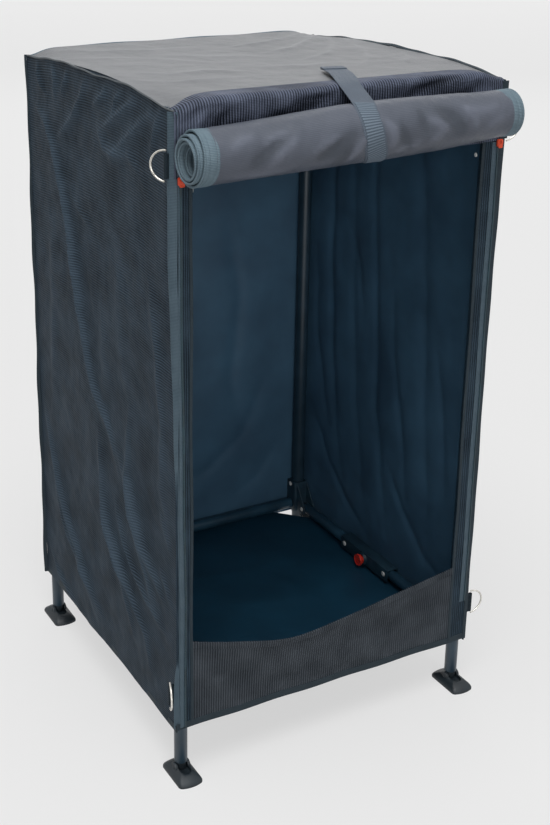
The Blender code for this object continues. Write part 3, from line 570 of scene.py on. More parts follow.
def tape(
    name, centres, across, outwards, width, thickness, material, body="front_frame",
):
    """A strip with its body, slot and material."""
    return finished(strip(name, centres, across, outwards, width, thickness), body, material)


def joined(name, *pieces):
    """Pieces joined into the first of them."""
    select_only(*pieces)
    bpy.ops.object.join()
    return named(pieces[0], name)


# The cover's cloth

ROOF_SIDE_REACH = 0.030
ROOF_END_REACH = 0.090
ROOF_LEFT_RISE = 0.0040
ROOF_LEFT_MIDDLE = -0.034
ROOF_LEFT_REACH = 0.11
HEADER_FRONT_Y = 0.2862
HEADER_BEND = 0.012
# How deep a fold of the band can be before it meets the top rail behind it
HEADER_RAIL_ROOM = 0.0034
HEADER_SEAM_Y = 0.243
HEADER_SEAM_FRONT_Y = 0.272
# The roof ends under the band, just behind its bend
ROOF_FRONT_Y = 0.2738
HEADER_SEAM_X = 0.20
HEADER_OVER_ROOF = 0.0016
SIDE_FULLNESS = 0.005
SIDE_FOLD_STRENGTH = {"left": 2.3, "right": 1.1}
KICK_LEFT_Z = 0.253
KICK_RIGHT_Z = 0.247
KICK_LOW_Z = 0.208
KICK_LOW_SHARE = 0.345
KICK_FLOP = 0.012
FLOOR_Z = 0.106
FLOOR_CUTS = {"front": 0.048, "rear": 0.070}
BACK_HEM_Z = 0.0945
CORNER_EDGE_X = 0.2843
CORNER_CUT = 0.0048
# The left corner's outer tape: its width at each height
CORNER_TAPE = {
    0.08: 0.0109, 0.15: 0.0104, 0.188: 0.0085, 0.226: 0.0050, 0.263: 0.0022, 0.340: 0.0014, 0.50: 0.0050,
    0.78: 0.0127, 0.89: 0.0148, 0.94: 0.0155, 1.10: 0.0155,
}
# How far below the roof's surface the sides and the back end
SEAM_DROP = 0.0012

# The folds of each cloth, each as its height, its width and then its points, in mm. Points are (y, z) on
# the sides, (x, z) on the back, (x, y) on the roof and floor, and (x, distance up the cloth) on the band.
LEFT_SIDE_FOLDS = (
    (5.0, 9, 262, 1034, 194, 1006, 164, 973, 138, 934, 117, 891, 97, 832, 75, 757, 55, 697, 45, 677, 27,
     628, 4, 581, -33, 554, -64, 515, -87, 468),
    (3.2, 10, -72, 520, -119, 464, -155, 377, -180, 335, -215, 280),
    (4.2, 10, 268, 471, 222, 380, 192, 318, 160, 277, 114, 236, 71, 174, 26, 134),
    (3.6, 9, -5, 520, -12, 417, -39, 351, -79, 293, -109, 230, -130, 180),
    (3.4, 9, -131, 600, -119, 483, -141, 419, -170, 370, -223, 329, -255, 300),
    (2.6, 10, -205, 840, -231, 717, -243, 622, -240, 515, -268, 425),
    (3.4, 9, 20, 1108, 36, 1075, 69, 1034, 146, 983),
    (3.6, 10, -173, 1106, -119, 1072, -35, 1028),
    (3.0, 10, -226, 1092, -170, 1058, -110, 1018, -70, 985),
    (3.4, 11, -28, 1040, -62, 1008, -110, 1006, -144, 1015, -175, 990),
    (1.8, 8, 80, 899, 40, 880, 5, 862),
    (3.0, 7, 217, 316, 184, 258, 121, 215, 79, 192, 39, 163, 12, 146),
    (2.4, 8, 257, 160, 220, 128, 168, 108, 101, 104),
    (3.4, 8, -15, 400, -51, 325, -93, 281, -135, 251, -176, 215, -190, 160),
    (3.0, 8, -67, 410, -102, 344, -137, 310, -189, 286, -251, 250),
    (2.4, 7, -238, 470, -252, 440, -272, 400),
    (2.4, 7, -228, 370, -250, 345, -270, 310),
    (1.8, 18, 180, 860, 188, 700, 200, 560, 216, 430),
    (1.6, 22, -100, 900, -96, 780, -110, 660, -125, 600),
    (1.8, 20, -30, 760, -40, 640, -20, 520),
    (2.6, 7, 236, 1112, 228, 1080, 206, 1052),
    (2.4, 7, 168, 1114, 152, 1082, 160, 1050),
    (2.8, 7, 96, 1114, 104, 1086, 128, 1060),
    (2.8, 7, -60, 1114, -48, 1088, -8, 1064),
    (2.4, 6, -120, 1112, -96, 1090, -84, 1060),
    (2.6, 7, -250, 1104, -232, 1066, -214, 1030),
)
RIGHT_SIDE_FOLDS = (
    (4.2, 13, 205, 1060, 190, 900, 196, 700, 180, 480, 150, 300, 120, 200),
    (3.0, 16, 152, 1020, 120, 850, 118, 640, 96, 420, 60, 250, 40, 170),
    (4.4, 14, 70, 1050, 58, 860, 40, 640, 30, 430, -10, 260, -30, 180),
    (3.4, 12, -8, 700, -24, 560, -60, 400, -90, 250),
    (4.0, 19, -62, 1040, -92, 860, -110, 640, -130, 420, -160, 240),
    (3.2, 12, -150, 620, -180, 480, -205, 330),
    (3.0, 10, -225, 1060, -235, 860, -232, 620, -245, 420, -250, 260),
    (2.6, 11, 246, 720, 236, 520, 200, 380, 170, 300),
    (3.6, 10, 226, 330, 180, 250, 110, 190, 40, 150),
    (3.2, 11, -20, 330, -80, 250, -150, 190, -210, 170),
    (2.4, 12, 150, 780, 100, 700, 80, 600),
)
SIDE_FOLDS = {"left": LEFT_SIDE_FOLDS, "right": RIGHT_SIDE_FOLDS}
BACK_FOLDS = (
    (2.6, 18, -240, 1070, -180, 930, -150, 760, -170, 560),
    (2.4, 16, 250, 1060, 200, 960, 120, 880, 40, 850),
    (2.0, 20, -60, 1080, -40, 900, -70, 700, -40, 520),
    (2.6, 18, 110, 760, 140, 600, 120, 420, 160, 260),
    (2.6, 14, 200, 420, 150, 300, 60, 230, -60, 210),
    (2.4, 14, -220, 420, -160, 300, -100, 240),
    (2.4, 11, 230, 260, 180, 190, 120, 160),
)
ROOF_FOLDS = (
    (2.6, 9, 262, 262, 190, 200, 110, 160, 20, 150),
    (2.4, 10, 262, 235, 200, 150, 130, 90, 40, 60),
    (2.2, 9, 255, 190, 215, 90, 150, 10, 60, -40),
    (2.0, 9, 258, 120, 226, 20, 180, -70, 120, -130),
    (1.8, 14, -255, 250, -190, 190, -110, 170, -30, 185),
    (1.6, 16, -262, 150, -190, 110, -120, 60, -60, -20),
    (2.0, 12, -250, -40, -190, -80, -130, -70, -60, -100),
    (2.6, 10, -262, -120, -225, -150, -150, -150, -90, -140),
    (1.4, 16, -120, 120, -40, 60, 40, 40),
    (1.4, 14, -40, -60, 40, -90, 120, -80),
    (1.8, 9, 262, -40, 230, -110, 180, -160),
)
HEADER_FOLDS = (
    (-5.0, 12, -205, 39, -150, 61, -90, 80, -20, 104),
    (-3.4, 10, -120, 32, -60, 51, 0, 72, 40, 100),
    (2.6, 9, -262, 47, -250, 77, -235, 99),
    (-2.4, 9, -240, 37, -222, 69, -200, 95),
    (-3.4, 11, 128, 37, 170, 61, 215, 80, 250, 98),
    (-3.0, 8, 90, 82, 150, 100, 210, 112),
    (2.4, 9, 230, 37, 252, 61, 268, 85),
)
FLOOR_FOLDS = (
    (2.4, 16, -230, 180, -90, 120, 60, 90, 200, 110),
    (3.0, 18, -220, 40, -80, 10, 80, -30, 210, -20),
    (2.6, 16, -200, -90, -60, -110, 80, -150, 200, -130),
    (2.2, 20, -120, 220, -60, 80, -40, -80, -70, -220),
    (2.0, 20, 110, 210, 90, 60, 130, -80),
)


def roof_height(x, y):
    """The roof stands a little above its corners, and drops to them quickly at their ends."""
    corner = ((COVER_X - abs(x)) / ROOF_SIDE_REACH) ** 2 + ((COVER_Y - abs(y)) / ROOF_END_REACH) ** 2
    left = np.clip(-np.asarray(x, float) / COVER_X, 0, 1) ** 2
    left = left * np.exp(-((y - ROOF_LEFT_MIDDLE) / ROOF_LEFT_REACH) ** 2)
    return CORNER_Z + ROOF_RISE * (1 - np.exp(-corner)) + ROOF_LEFT_RISE * left


def cloth(piece, facing, outer, inner, node, body="front_frame"):
    """Thickens a sheet behind its outer face, which looks a given way, and finishes it."""
    thickened(piece, outer, inner, facing=facing)
    return finished(piece, body, replaces=[node])


def make_roof():
    half_x, rear_y = COVER_X - CLOTH, COVER_Y - 0.003

    def flat_place(u, v):
        return half_x * (2 * u - 1), -ROOF_FRONT_Y + (rear_y + ROOF_FRONT_Y) * v

    def place(u, v):
        x, y = flat_place(u, v)
        slack = near_edges(u, 0.04) * near_edges(v, 0.04)
        relief = 1.4 * folds(x, y, ROOF_FOLDS) + 0.0016 * crumpled(x, y, 0.10, 1.0)
        return x, y, roof_height(x, y) - 0.0006 + relief * slack - 0.002 * span(u) * span(v)

    def crest(u, v):
        return folds(*flat_place(u, v), ROOF_FOLDS)
    piece = grid_piece("roof_cloth", 120, 120, place, (2 * half_x, rear_y + ROOF_FRONT_Y), crest)
    cloth(piece, (0, 0, 1), "roof cloth", "lining", "roof_panel")
    return piece


def side_hem_z(y, sign):
    """The side's hem: the left one is drawn up behind its front end, and the right one hangs lower."""
    share = (y + COVER_Y) / (2 * COVER_Y)
    return HEM_SIDE_FRONT_Z + HEM_SIDE_RISES[sign] * np.sin(math.pi / 2 * np.clip(share / 0.45, 0, 1))


def side_bulge(y, z, lines, strength):
    """How far a side stands out from the plane of its legs."""
    share = (y + COVER_Y) / (2 * COVER_Y)
    rise = (z - HEM_REAR_Z) / (ROOF_HIGH - HEM_REAR_Z)
    slack = near_edges(share, 0.10) ** 0.7
    top = np.clip((ROOF_HIGH - z) / 0.03, 0, 1)
    full = SIDE_FULLNESS * span(share) * span(np.clip(rise, 0.08, 1)) ** 0.6
    relief = strength * folds(y, z, lines) + 0.0030 * crumpled(y, z, 0.11, 4.0)
    return (full + relief) * slack * top


def corner_tape_width(z):
    """The width of the left corner's outer tape, eased between the heights where it is given."""
    heights, widths = list(CORNER_TAPE), list(CORNER_TAPE.values())
    return sum(np.interp(z + shift, heights, widths) for shift in (-0.02, 0.0, 0.02)) / 3


def corner_cut(z):
    """How far the left side and strip stop short of their corner, where the outer tape spans it."""
    return CORNER_CUT * np.clip((corner_tape_width(z) - 0.005) / 0.004, 0, 1)


def make_side(side, sign):
    lines = SIDE_FOLDS[side]

    def flat_place(u, v):
        y = COVER_Y * (2 * u - 1)
        top = roof_height(sign * COVER_X, y) - SEAM_DROP
        hem = side_hem_z(y, sign)
        z = hem + (top - hem) * v
        if sign < 0:
            y = y + corner_cut(z) * (1 - u)
        return y, z

    def place(u, v):
        y, z = flat_place(u, v)
        return sign * (COVER_X + side_bulge(y, z, lines, SIDE_FOLD_STRENGTH[side])), y, z

    def crest(u, v):
        return folds(*flat_place(u, v), lines)
    piece = grid_piece(f"{side}_side_cloth", 110, 190, place, (2 * COVER_Y, ROOF_HIGH - HEM_REAR_Z), crest)
    cloth(piece, (sign, 0, 0), "side cloth", "lining", f"{side}_side_panel")
    return piece


def make_back():
    def place(u, v):
        x = COVER_X * (1 - 2 * u)
        top = roof_height(x, COVER_Y) - SEAM_DROP
        z = BACK_HEM_Z + (top - BACK_HEM_Z) * v
        slack = near_edges(u, 0.08) * near_edges(v, 0.03)
        relief = folds(x, z, BACK_FOLDS) + 0.0012 * crumpled(x, z, 0.12, 7.0)
        return x, COVER_Y + (0.003 * span(u) * span(v) + relief) * slack, z
    piece = grid_piece("back_cloth", 90, 150, place, (2 * COVER_X, ROOF_HIGH - BACK_HEM_Z))
    cloth(piece, (0, 1, 0), "side cloth", "lining", "back_panel", "rear_frame")


def floor_outline(half_x, half_y):
    """A flat grid with its four corners cut off, which lets light through beside each leg."""
    grid = bpy.ops.mesh.primitive_grid_add
    piece = start(grid, "floor_cloth", x_subdivisions=90, y_subdivisions=90, size=1.0)
    piece.scale = (2 * half_x, 2 * half_y, 1.0)
    settle(piece)
    for sign_x in (-1, 1):
        for end, sign_y in ENDS:
            pick(piece, "FACE")
            bpy.ops.mesh.bisect(
                plane_co=(sign_x * (half_x - FLOOR_CUTS[end]), sign_y * half_y, 0.0),
                plane_no=(sign_x, sign_y, 0.0), clear_outer=True,
            )
            leave_edit()
    return piece


def make_floor():
    half_x, half_y = COVER_X - 0.0016, COVER_Y - 0.0016
    piece = floor_outline(half_x, half_y)
    mesh = piece.data
    places = np.zeros(len(mesh.vertices) * 3)
    mesh.vertices.foreach_get("co", places)
    places = places.reshape(-1, 3)
    x, y = places[:, 0], places[:, 1]
    edge = np.clip(np.minimum(half_x - abs(x), half_y - abs(y)) / 0.03, 0, 1)
    sag = 0.004 * np.cos(x / half_x * math.pi / 2) * np.cos(y / half_y * math.pi / 2)
    relief = folds(x, y, FLOOR_FOLDS) - 0.0015 * abs(crumpled(x, y, 0.09, 9.0))
    places[:, 2] = FLOOR_Z - 0.0045 + (relief * 0.8 - sag) * edge
    mesh.vertices.foreach_set("co", places.ravel())
    for layer in list(mesh.uv_layers):
        mesh.uv_layers.remove(layer)
    lay_flat(mesh, places[:, :2])
    cloth(piece, (0, 0, 1), "dark lining", "side cloth", "floor_panel")
    return piece


def header_seam_y(x):
    """How far back the band reaches on the roof: less and less towards its two ends."""
    bend = np.clip((abs(x) - HEADER_SEAM_X) / (COVER_X - HEADER_SEAM_X), 0, 1)
    return HEADER_SEAM_Y + (HEADER_SEAM_FRONT_Y - HEADER_SEAM_Y) * bend ** 1.5


def header_profile(x, share):
    """A point of the front band's section: y, z, its outward direction and its distance up the cloth."""
    edge_z = roof_height(x, -COVER_Y) + HEADER_OVER_ROOF
    front_run = edge_z - HEADER_BEND - OPENING_TOP_Z
    bend_run = HEADER_BEND * math.pi / 2
    top_run = HEADER_FRONT_Y - HEADER_BEND - header_seam_y(x)
    along = share * (front_run + bend_run + top_run)
    angle = np.clip((along - front_run) / HEADER_BEND, 0, math.pi / 2)
    z = np.where(along < front_run, OPENING_TOP_Z + along, edge_z - HEADER_BEND + HEADER_BEND * np.sin(angle))
    back = np.clip(along - front_run - bend_run, 0, None)
    y = -HEADER_FRONT_Y + HEADER_BEND * (1 - np.cos(angle)) + back
    flat_top = roof_height(x, y) + HEADER_OVER_ROOF
    z = np.where(back > 0, flat_top + (edge_z - roof_height(x, -HEADER_FRONT_Y + HEADER_BEND)
                 - HEADER_OVER_ROOF) * np.exp(-back / 0.01), z)
    return y, z, -np.cos(angle), np.sin(angle), along


def make_header():
    """The ribbed band over the opening, which turns back over the roof's front edge."""
    def place(u, v):
        x = (COVER_X - CLOTH) * (2 * u - 1)
        y, z, out_y, out_z, along = header_profile(x, v)
        slack = near_edges(u, 0.05) * np.clip((1 - v) / 0.2, 0, 1) * np.clip(v / 0.15, 0, 1)
        relief = 1.3 * folds(x, along, HEADER_FOLDS) + 0.0018 * crumpled(x, along, 0.05, 11.0)
        room = HEADER_RAIL_ROOM + np.clip(abs(z - TOP_RAIL_Z) - 0.007, 0, None)
        relief = np.maximum(relief * slack, -room)
        return x, y + out_y * relief, z + out_z * relief

    def crest(u, v):
        x = (COVER_X - CLOTH) * (2 * u - 1)
        return folds(x, header_profile(x, v)[4], HEADER_FOLDS)
    piece = grid_piece("front_band", 170, 70, place, (2 * COVER_X, 0.156), crest)
    swap_flat(piece)
    cloth(piece, (0, -1, 1), "front cloth", "lining", "front_panel")


def make_front_strip(side, sign):
    """The ribbed strip down one side of the opening."""
    low, high = HEM_FRONT_Z - 0.003, OPENING_TOP_Z + 0.012
    edge = OPENING_EDGE[side]
    width = COVER_X - CLOTH - edge

    def place(u, v):
        z = low + (high - low) * v
        cut = corner_cut(z) if sign < 0 else 0.0
        x = edge + (width - cut) * u + 0.0008 * np.sin(v * 19 + sign) * (1 - u)
        y = -COVER_Y - 0.0009 - 0.0012 * (1 - u) * (1 + np.sin(v * 23 + 2 * sign)) / 2
        return sign * x, y, z
    piece = grid_piece(f"{side}_front_strip", 8, 120, place, (width, high - low))
    swap_flat(piece)
    cloth(piece, (0, -1, 0), "strip cloth", "lining", "front_panel")


def kick_top(share):
    """The top edge of the kick panel: two nearly straight runs that meet at its lowest point."""
    left = KICK_LEFT_Z + (KICK_LOW_Z - KICK_LEFT_Z) * share / KICK_LOW_SHARE
    right = KICK_RIGHT_Z + (KICK_LOW_Z - KICK_RIGHT_Z) * (1 - share) / (1 - KICK_LOW_SHARE)
    soft = 0.006
    return soft * np.log(np.exp(left / soft) + np.exp(right / soft))


def kick_place(share, rise):
    """A point of the kick panel, its share across and its rise from hem to top edge."""
    top = kick_top(share)
    x = -OPENING_EDGE["left"] + (OPENING_EDGE["left"] + OPENING_EDGE["right"]) * share
    slack = np.sin(math.pi * np.clip(share, 0, 1) ** 0.7)
    relief = 0.0016 * crumpled(x, top * rise, 0.07, 15.0) * span(share) * rise
    y = -COVER_Y - 0.0012 - KICK_FLOP * slack * rise ** 2 + relief
    return x, y, HEM_FRONT_Z + (top - HEM_FRONT_Z) * rise


def make_kick():
    piece = grid_piece("kick_cloth", 150, 40, kick_place, (0.5133, 0.14))
    swap_flat(piece)
    cloth(piece, (0, -1, 0), "kick cloth", "side cloth", "kick_panel")


# The rolled door and its strap

# Places along the roll, with its radius and the height of its centre there
ROLL_X = (-0.289, -0.149, -0.010, 0.130, 0.2695)
ROLL_RADIUS = (0.0405, 0.0425, 0.0466, 0.0430, 0.0357)
ROLL_HEIGHT = (1.042, 1.049, 1.0563, 1.0565, 1.060)
ROLL_ROUND = 2 * math.pi * 0.044
ROLL_OFF_BAND = 0.0020
# The share of the outer radius that each further turn has
TURN_SHARE = (1.0, 0.87, 0.745, 0.62, 0.49, 0.36)
ROLL_STEPS = 44
# How far the cloth's two ends reach at each turn
ROLL_LEFT_ENDS = (-0.2800, -0.2890, -0.2935, -0.2925, -0.2830, -0.2720)
ROLL_RIGHT_ENDS = (0.2695, 0.2680, 0.2665, 0.2650, 0.2600, 0.2520)
DOOR_CLOTH = 0.0009
DOOR_TAPE_WIDTH = 0.025
DOOR_TAPE = 0.0034
STRAP_WIDTH = 0.036
STRAP_CLOTH = 0.0016
STRAP_PRESS = 0.0030
# Folds of the roll. Points are (x, distance round from the back)
ROLL_FOLDS = (
    (-2.2, 7, -214, 152, -196, 138, -180, 126, -160, 116),
    (2.6, 6, -188, 160, -171, 144, -156, 131, -138, 116),
    (1.8, 5, -196, 122, -176, 112, -150, 106),
    (3.4, 5, -56, 172, -46, 154, -38, 144, -30, 134),
    (-2.4, 6, -72, 176, -60, 158, -54, 142),
    (-3.0, 8, -110, 160, -86, 147, -66, 136, -44, 122),
    (2.2, 5, -118, 148, -96, 134, -70, 124),
    (3.2, 6, 14, 158, 20, 142, 16, 127, 6, 113),
    (-2.8, 6, 56, 165, 38, 143, 33, 123),
    (2.4, 5, 24, 164, 49, 157, 72, 152),
    (-2.2, 5, 70, 100, 70, 118, 78, 138),
    (-3.6, 9, 103, 104, 122, 116, 135, 129, 150, 150),
    (2.4, 6, 78, 116, 101, 127, 121, 142),
    (2.2, 6, 85, 156, 102, 147, 113, 134),
    (2.0, 6, 152, 104, 170, 122, 176, 146),
    (1.8, 7, -246, 122, -226, 111, -205, 104),
    (1.6, 8, -240, 168, -200, 172, -150, 174),
    (1.6, 9, 150, 110, 190, 116, 228, 112),
    (1.6, 7, 190, 150, 214, 138, 240, 134),
)
# The strap's middle on the roof, from its seam to the front edge, and round the roll as (turn, x)
STRAP_ON_ROOF = ((0.0500, -0.156), (0.0400, -0.184), (0.0280, -0.215), (0.0130, -0.250), (0.0010, -0.276))
STRAP_ROUND = (
    (0.262, -0.0100), (0.300, -0.0145), (0.370, -0.0175), (0.440, -0.0170), (0.500, -0.0145),
    (0.550, -0.0120), (0.620, -0.0030), (0.680, 0.0020), (0.740, 0.0050), (0.790, 0.0080),
)


def along_roll(values, x):
    """A value along the roll, eased between the places where it is given."""
    shifts = (-0.05, -0.025, 0.0, 0.025, 0.05)
    return sum(np.interp(x + shift, ROLL_X, values) for shift in shifts) / len(shifts)


def roll_relief(x, turn):
    """Dents and folds of the roll's outer turns, and the waist under the strap."""
    round_it = turn * ROLL_ROUND
    fold = 1.9 * folds(x, round_it, ROLL_FOLDS) + 0.0014 * crumpled(x, round_it, 0.06, 21.0)
    front = np.clip(np.sin(math.pi * np.clip(turn, 0.2, 0.85) / 0.85), 0, 1)
    waist = STRAP_PRESS * np.exp(-((x + 0.014) / 0.026) ** 2) * front
    share = (x - ROLL_X[0]) / (ROLL_X[-1] - ROLL_X[0])
    return (fold * near_edges(share, 0.06) - waist) * np.exp(-1.3 * turn)


def roll_point(x, turn):
    """A point of the rolled door, which starts at the back and goes over the top."""
    angle = 2 * math.pi * turn
    outer = along_roll(ROLL_RADIUS, x)
    radius = outer * np.interp(turn, np.arange(len(TURN_SHARE)), TURN_SHARE) + roll_relief(x, turn)
    centre_y = -(COVER_Y + ROLL_OFF_BAND) - outer
    return centre_y + radius * np.cos(angle), along_roll(ROLL_HEIGHT, x) + radius * np.sin(angle)


def roll_ends(turn):
    """Where the cloth starts and ends along the roll: its turns have slid over each other."""
    places = np.arange(len(TURN_SHARE))
    wander = 0.0008 * np.sin(turn * 5.0)
    return np.interp(turn, places, ROLL_LEFT_ENDS) + wander, np.interp(turn, places, ROLL_RIGHT_ENDS) + wander


def make_door():
    turns = len(TURN_SHARE) - 1
    rungs = turns * ROLL_STEPS

    def place(u, v):
        turn = v * turns
        left, right = roll_ends(turn)
        x = left + 0.002 + (right - left - 0.004) * u
        return x, *roll_point(x, turn)

    def crest(u, v):
        left, right = roll_ends(v * turns)
        return folds(left + (right - left) * u, v * turns * ROLL_ROUND, ROLL_FOLDS)
    piece = grid_piece("rolled_door_cloth", 104, rungs, place, (0.560, 0.89), crest)
    thickened(piece, "door cloth", thickness=DOOR_CLOTH)
    finished(piece, "front_frame", replaces=["rolled_door"])
    turn = np.linspace(0, turns, rungs + 1)
    ends = zip(("left", "right"), roll_ends(turn), (1, -1))
    tapes = [door_tape(f"door_{name}_edge_tape", turn, end_x, inward) for name, end_x, inward in ends]


def door_tape(name, turn, end_x, inward):
    """The door's bound edge: a folded tape with two sewn grooves and a rolled rim at its end."""
    middle_x = end_x + inward * DOOR_TAPE_WIDTH / 2
    centres = rows(middle_x, *roll_point(middle_x, turn))
    angle = 2 * math.pi * turn
    outwards = rows(0, np.cos(angle), np.sin(angle))
    half = DOOR_TAPE / 2
    profile = [(-1.0, 0.3), (-0.97, 0.9), (-0.90, 1.15), (-0.80, 0.9), (-0.74, 0.55), (-0.68, 0.9),
               (-0.30, 0.95), (-0.22, 0.6), (-0.14, 0.95), (0.55, 0.9), (0.62, 0.55), (0.70, 0.85),
               (0.95, 0.7), (1.0, 0.3)]
    outline = [(inward * share, rise) for share, rise in profile]
    outline += [(inward * share, -rise) for share, rise in reversed(profile)]
    side = np.array((1.0, 0.0, 0.0))
    points = []
    for centre, out in zip(centres, outwards):
        points += [centre + side * share * DOOR_TAPE_WIDTH / 2 + out * rise * half for share, rise in outline]
    places_across = [share * DOOR_TAPE_WIDTH / 2 for share, rise in outline]
    piece = loft(name, points, len(outline), centres, places_across)
    return finished(piece, "front_frame", "edge tape")


def strap_line():
    """The strap's middle line: along the roof, over the front edge and round the roll to its foot."""
    points = []
    for number, (x, y) in enumerate(STRAP_ON_ROOF):
        lift = 0.0032 + 0.0030 * math.sin(math.pi * number / (len(STRAP_ON_ROOF) - 1))
        points.append((x, y, float(roof_height(x, y)) + lift))
    gap = STRAP_CLOTH / 2 + 0.0010
    for turn, x in STRAP_ROUND:
        angle = 2 * math.pi * turn
        y, z = roll_point(np.array(x), np.array(turn))
        points.append((x, float(y) + gap * math.cos(angle), float(z) + gap * math.sin(angle)))
    points.append((0.0080, -HEADER_FRONT_Y - 0.002, OPENING_TOP_Z + 0.004))
    return np.array(points)


def evened(line, count, rounds):
    """A line's points at even steps, eased a little."""
    steps = np.concatenate(([0], np.cumsum(np.linalg.norm(np.diff(line, axis=0), axis=1))))
    even = np.linspace(0, steps[-1], count)
    eased = np.stack([np.interp(even, steps, line[:, axis]) for axis in range(3)], axis=-1)
    for _ in range(rounds):
        eased[1:-1] = (eased[:-2] + 2 * eased[1:-1] + eased[2:]) / 4
    return eased


def strap_directions(centres):
    """The strap's directions across and outwards at each point of its middle line."""
    run = np.gradient(centres, axis=0)
    run /= np.linalg.norm(run, axis=1)[:, None]
    outwards = np.cross(run, (1.0, 0.0, 0.0))
    looks_out = outwards[:, 2:] * (centres[:, 1:2] > -0.30) - outwards[:, 1:2] * 0.2 > 0
    outwards *= np.where(looks_out, 1, -1)
    for row in range(1, len(outwards)):
        if outwards[row] @ outwards[row - 1] < 0:
            outwards[row] *= -1
    return np.cross(outwards, run), outwards


def make_strap():
    """The strap's webbing, the loop patch on its front, and its end folded double."""
    centres = evened(strap_line(), 120, 8)
    across, outwards = strap_directions(centres)
    band = strip("roll_strap_band", centres, across, outwards, STRAP_WIDTH, STRAP_CLOTH)
    finished(band, "front_frame", "webbing", replaces=["roll_strap"])
    unit = outwards / np.linalg.norm(outwards, axis=1)[:, None]
    part = slice(int(0.52 * len(centres)), int(0.95 * len(centres)))
    lifted = centres[part] + unit[part] * (STRAP_CLOTH / 2 + 0.0004)
    tape("strap_loop_patch", lifted, across[part], outwards[part], STRAP_WIDTH - 0.007, 0.0012, "loop")
    end = slice(0, 9)
    lifted = centres[end] + unit[end] * np.linspace(0.0022, 0.0013, 9)[:, None]
    tape("strap_folded_end", lifted, across[end], outwards[end], STRAP_WIDTH + 0.0006, 0.0022, "webbing")


# Bindings, zips and hems

FIN_THICKNESS = 0.0022
FIN_WIDTHS = {"left": 0.0052, "right": 0.0046}
FIN_LEAN = math.radians(25)
REAR_FIN_WIDTH = 0.0085
HEM_TAPE_WIDTH = 0.012
HEM_TAPE = 0.0014
COIL_PITCH = 0.0018
COIL_WIDTH = 0.0032
ZIP_TAPE_X = 0.2768
ZIP_TAPE_WIDTH = 0.0095
ZIP_COIL_X = 0.2828
# The left zip shifts along its strip, given by height
LEFT_ZIP_Z = (0.08, 0.34, 0.78, 1.00)
LEFT_COIL_X = (0.2755, 0.2745, 0.2790, 0.2803)
ZIP_TAPE_Y = -COVER_Y - 0.0020
ZIP_COIL_Y = -COVER_Y - 0.0026
ZIP_TAPE = 0.0010
COIL_HEIGHT = 0.0022
# The share of its width that the coil loses between two teeth
COIL_NOTCH = 0.32
ZIP_LOW_Z = 0.175
ZIP_HIGH_Z = 1.0065
CORNER_TAPE_TOP_Z = 1.102
FRONTWARDS = (0.0, -1.0, 0.0)
UPWARDS = (0.0, 0.0, 1.0)


def fin(name, base, across, outwards, widths, material, body="front_frame"):
    """A bound seam that stands out stiffly from its base line."""
    centres = base + across * (widths / 2)[:, None]
    return tape(name, centres, across, outwards, widths, FIN_THICKNESS, material, body)


def side_fin(side, sign):
    """The bound seam between the roof and a side, which leans outwards."""
    y = np.linspace(COVER_Y + 0.004, -COVER_Y - 0.001, 120)
    wave = 0.0010 * np.sin(y * 31 + sign) + 0.0006 * np.sin(y * 77)
    lean = FIN_LEAN + 0.22 * np.sin(y * 14 + 2 * sign)
    across = rows(sign * np.cos(lean), 0, np.sin(lean))
    outwards = rows(-sign * np.sin(lean), 0, np.cos(lean))
    base = rows(sign * (COVER_X - 0.0010), y, roof_height(COVER_X, y) - SEAM_DROP + wave)
    taper = np.clip((COVER_Y + 0.012 - abs(y)) / 0.03, 0.35, 1)
    widths = FIN_WIDTHS[side] * (1 + 0.10 * np.sin(y * 23 + sign)) * taper
    material = "piping" if sign < 0 else "dark tape"
    return fin(f"{side}_roof_binding", base, across, outwards, widths, material)


def rear_fin():
    """The bound seam between the roof and the back."""
    x = np.linspace(-COVER_X - 0.002, COVER_X + 0.002, 90)
    z = roof_height(x, COVER_Y) - 0.001 + 0.0008 * np.sin(x * 37)
    across = np.array((0.0, 0.87, -0.50))
    widths = REAR_FIN_WIDTH * np.clip((COVER_X + 0.010 - abs(x)) / 0.03, 0.35, 1)
    base = rows(x, COVER_Y - 0.001, z)
    fin("rear_roof_binding", base, across, (0.0, 0.50, 0.87), widths, "edge tape", "rear_frame")


def rear_corner_fin(side, sign):
    """The bound seam down a rear corner."""
    z = np.linspace(BACK_HEM_Z, CORNER_Z + 0.002, 100)
    wave = 0.0010 * np.sin(z * 19 + sign) + 0.0006 * np.sin(z * 53)
    base = rows(sign * (COVER_X - 0.001) + sign * wave, COVER_Y - 0.001, z)
    across = np.array((sign * 0.94, 0.34, 0.0))
    outwards = (-sign * 0.34, 0.94, 0.0)
    widths = np.linspace(0.0078, 0.0045, len(z))
    fin(f"rear_{side}_corner_binding", base, across, outwards, widths, "dark tape", "rear_frame")


def front_corner_tape(side, sign):
    """The outer tape beside a door zip, wide at the roof and narrow below the rings."""
    z = np.linspace(HEM_FRONT_Z - 0.004, CORNER_TAPE_TOP_Z, 150)
    widths, lean, material = 0.0074 + 0.0041 * (1 / (1 + np.exp(-(z - 0.86) / 0.030))), 0.0, "dark tape"
    if sign < 0:
        widths, lean, material = corner_tape_width(z), math.radians(45), "zip tape"
    wave = 0.0006 * np.sin(z * 17 + sign) + 0.0004 * np.sin(z * 45)
    out_x = CORNER_EDGE_X + widths / 2 * math.cos(lean) + wave
    centres = rows(sign * out_x, -COVER_Y - 0.0016 + widths / 2 * math.sin(lean), z)
    across = (sign * math.cos(lean), math.sin(lean), 0.0)
    outwards = (sign * math.sin(lean), -math.cos(lean), 0.0)
    tape(f"front_{side}_corner_tape", centres, across, outwards, widths, 0.0020, material)


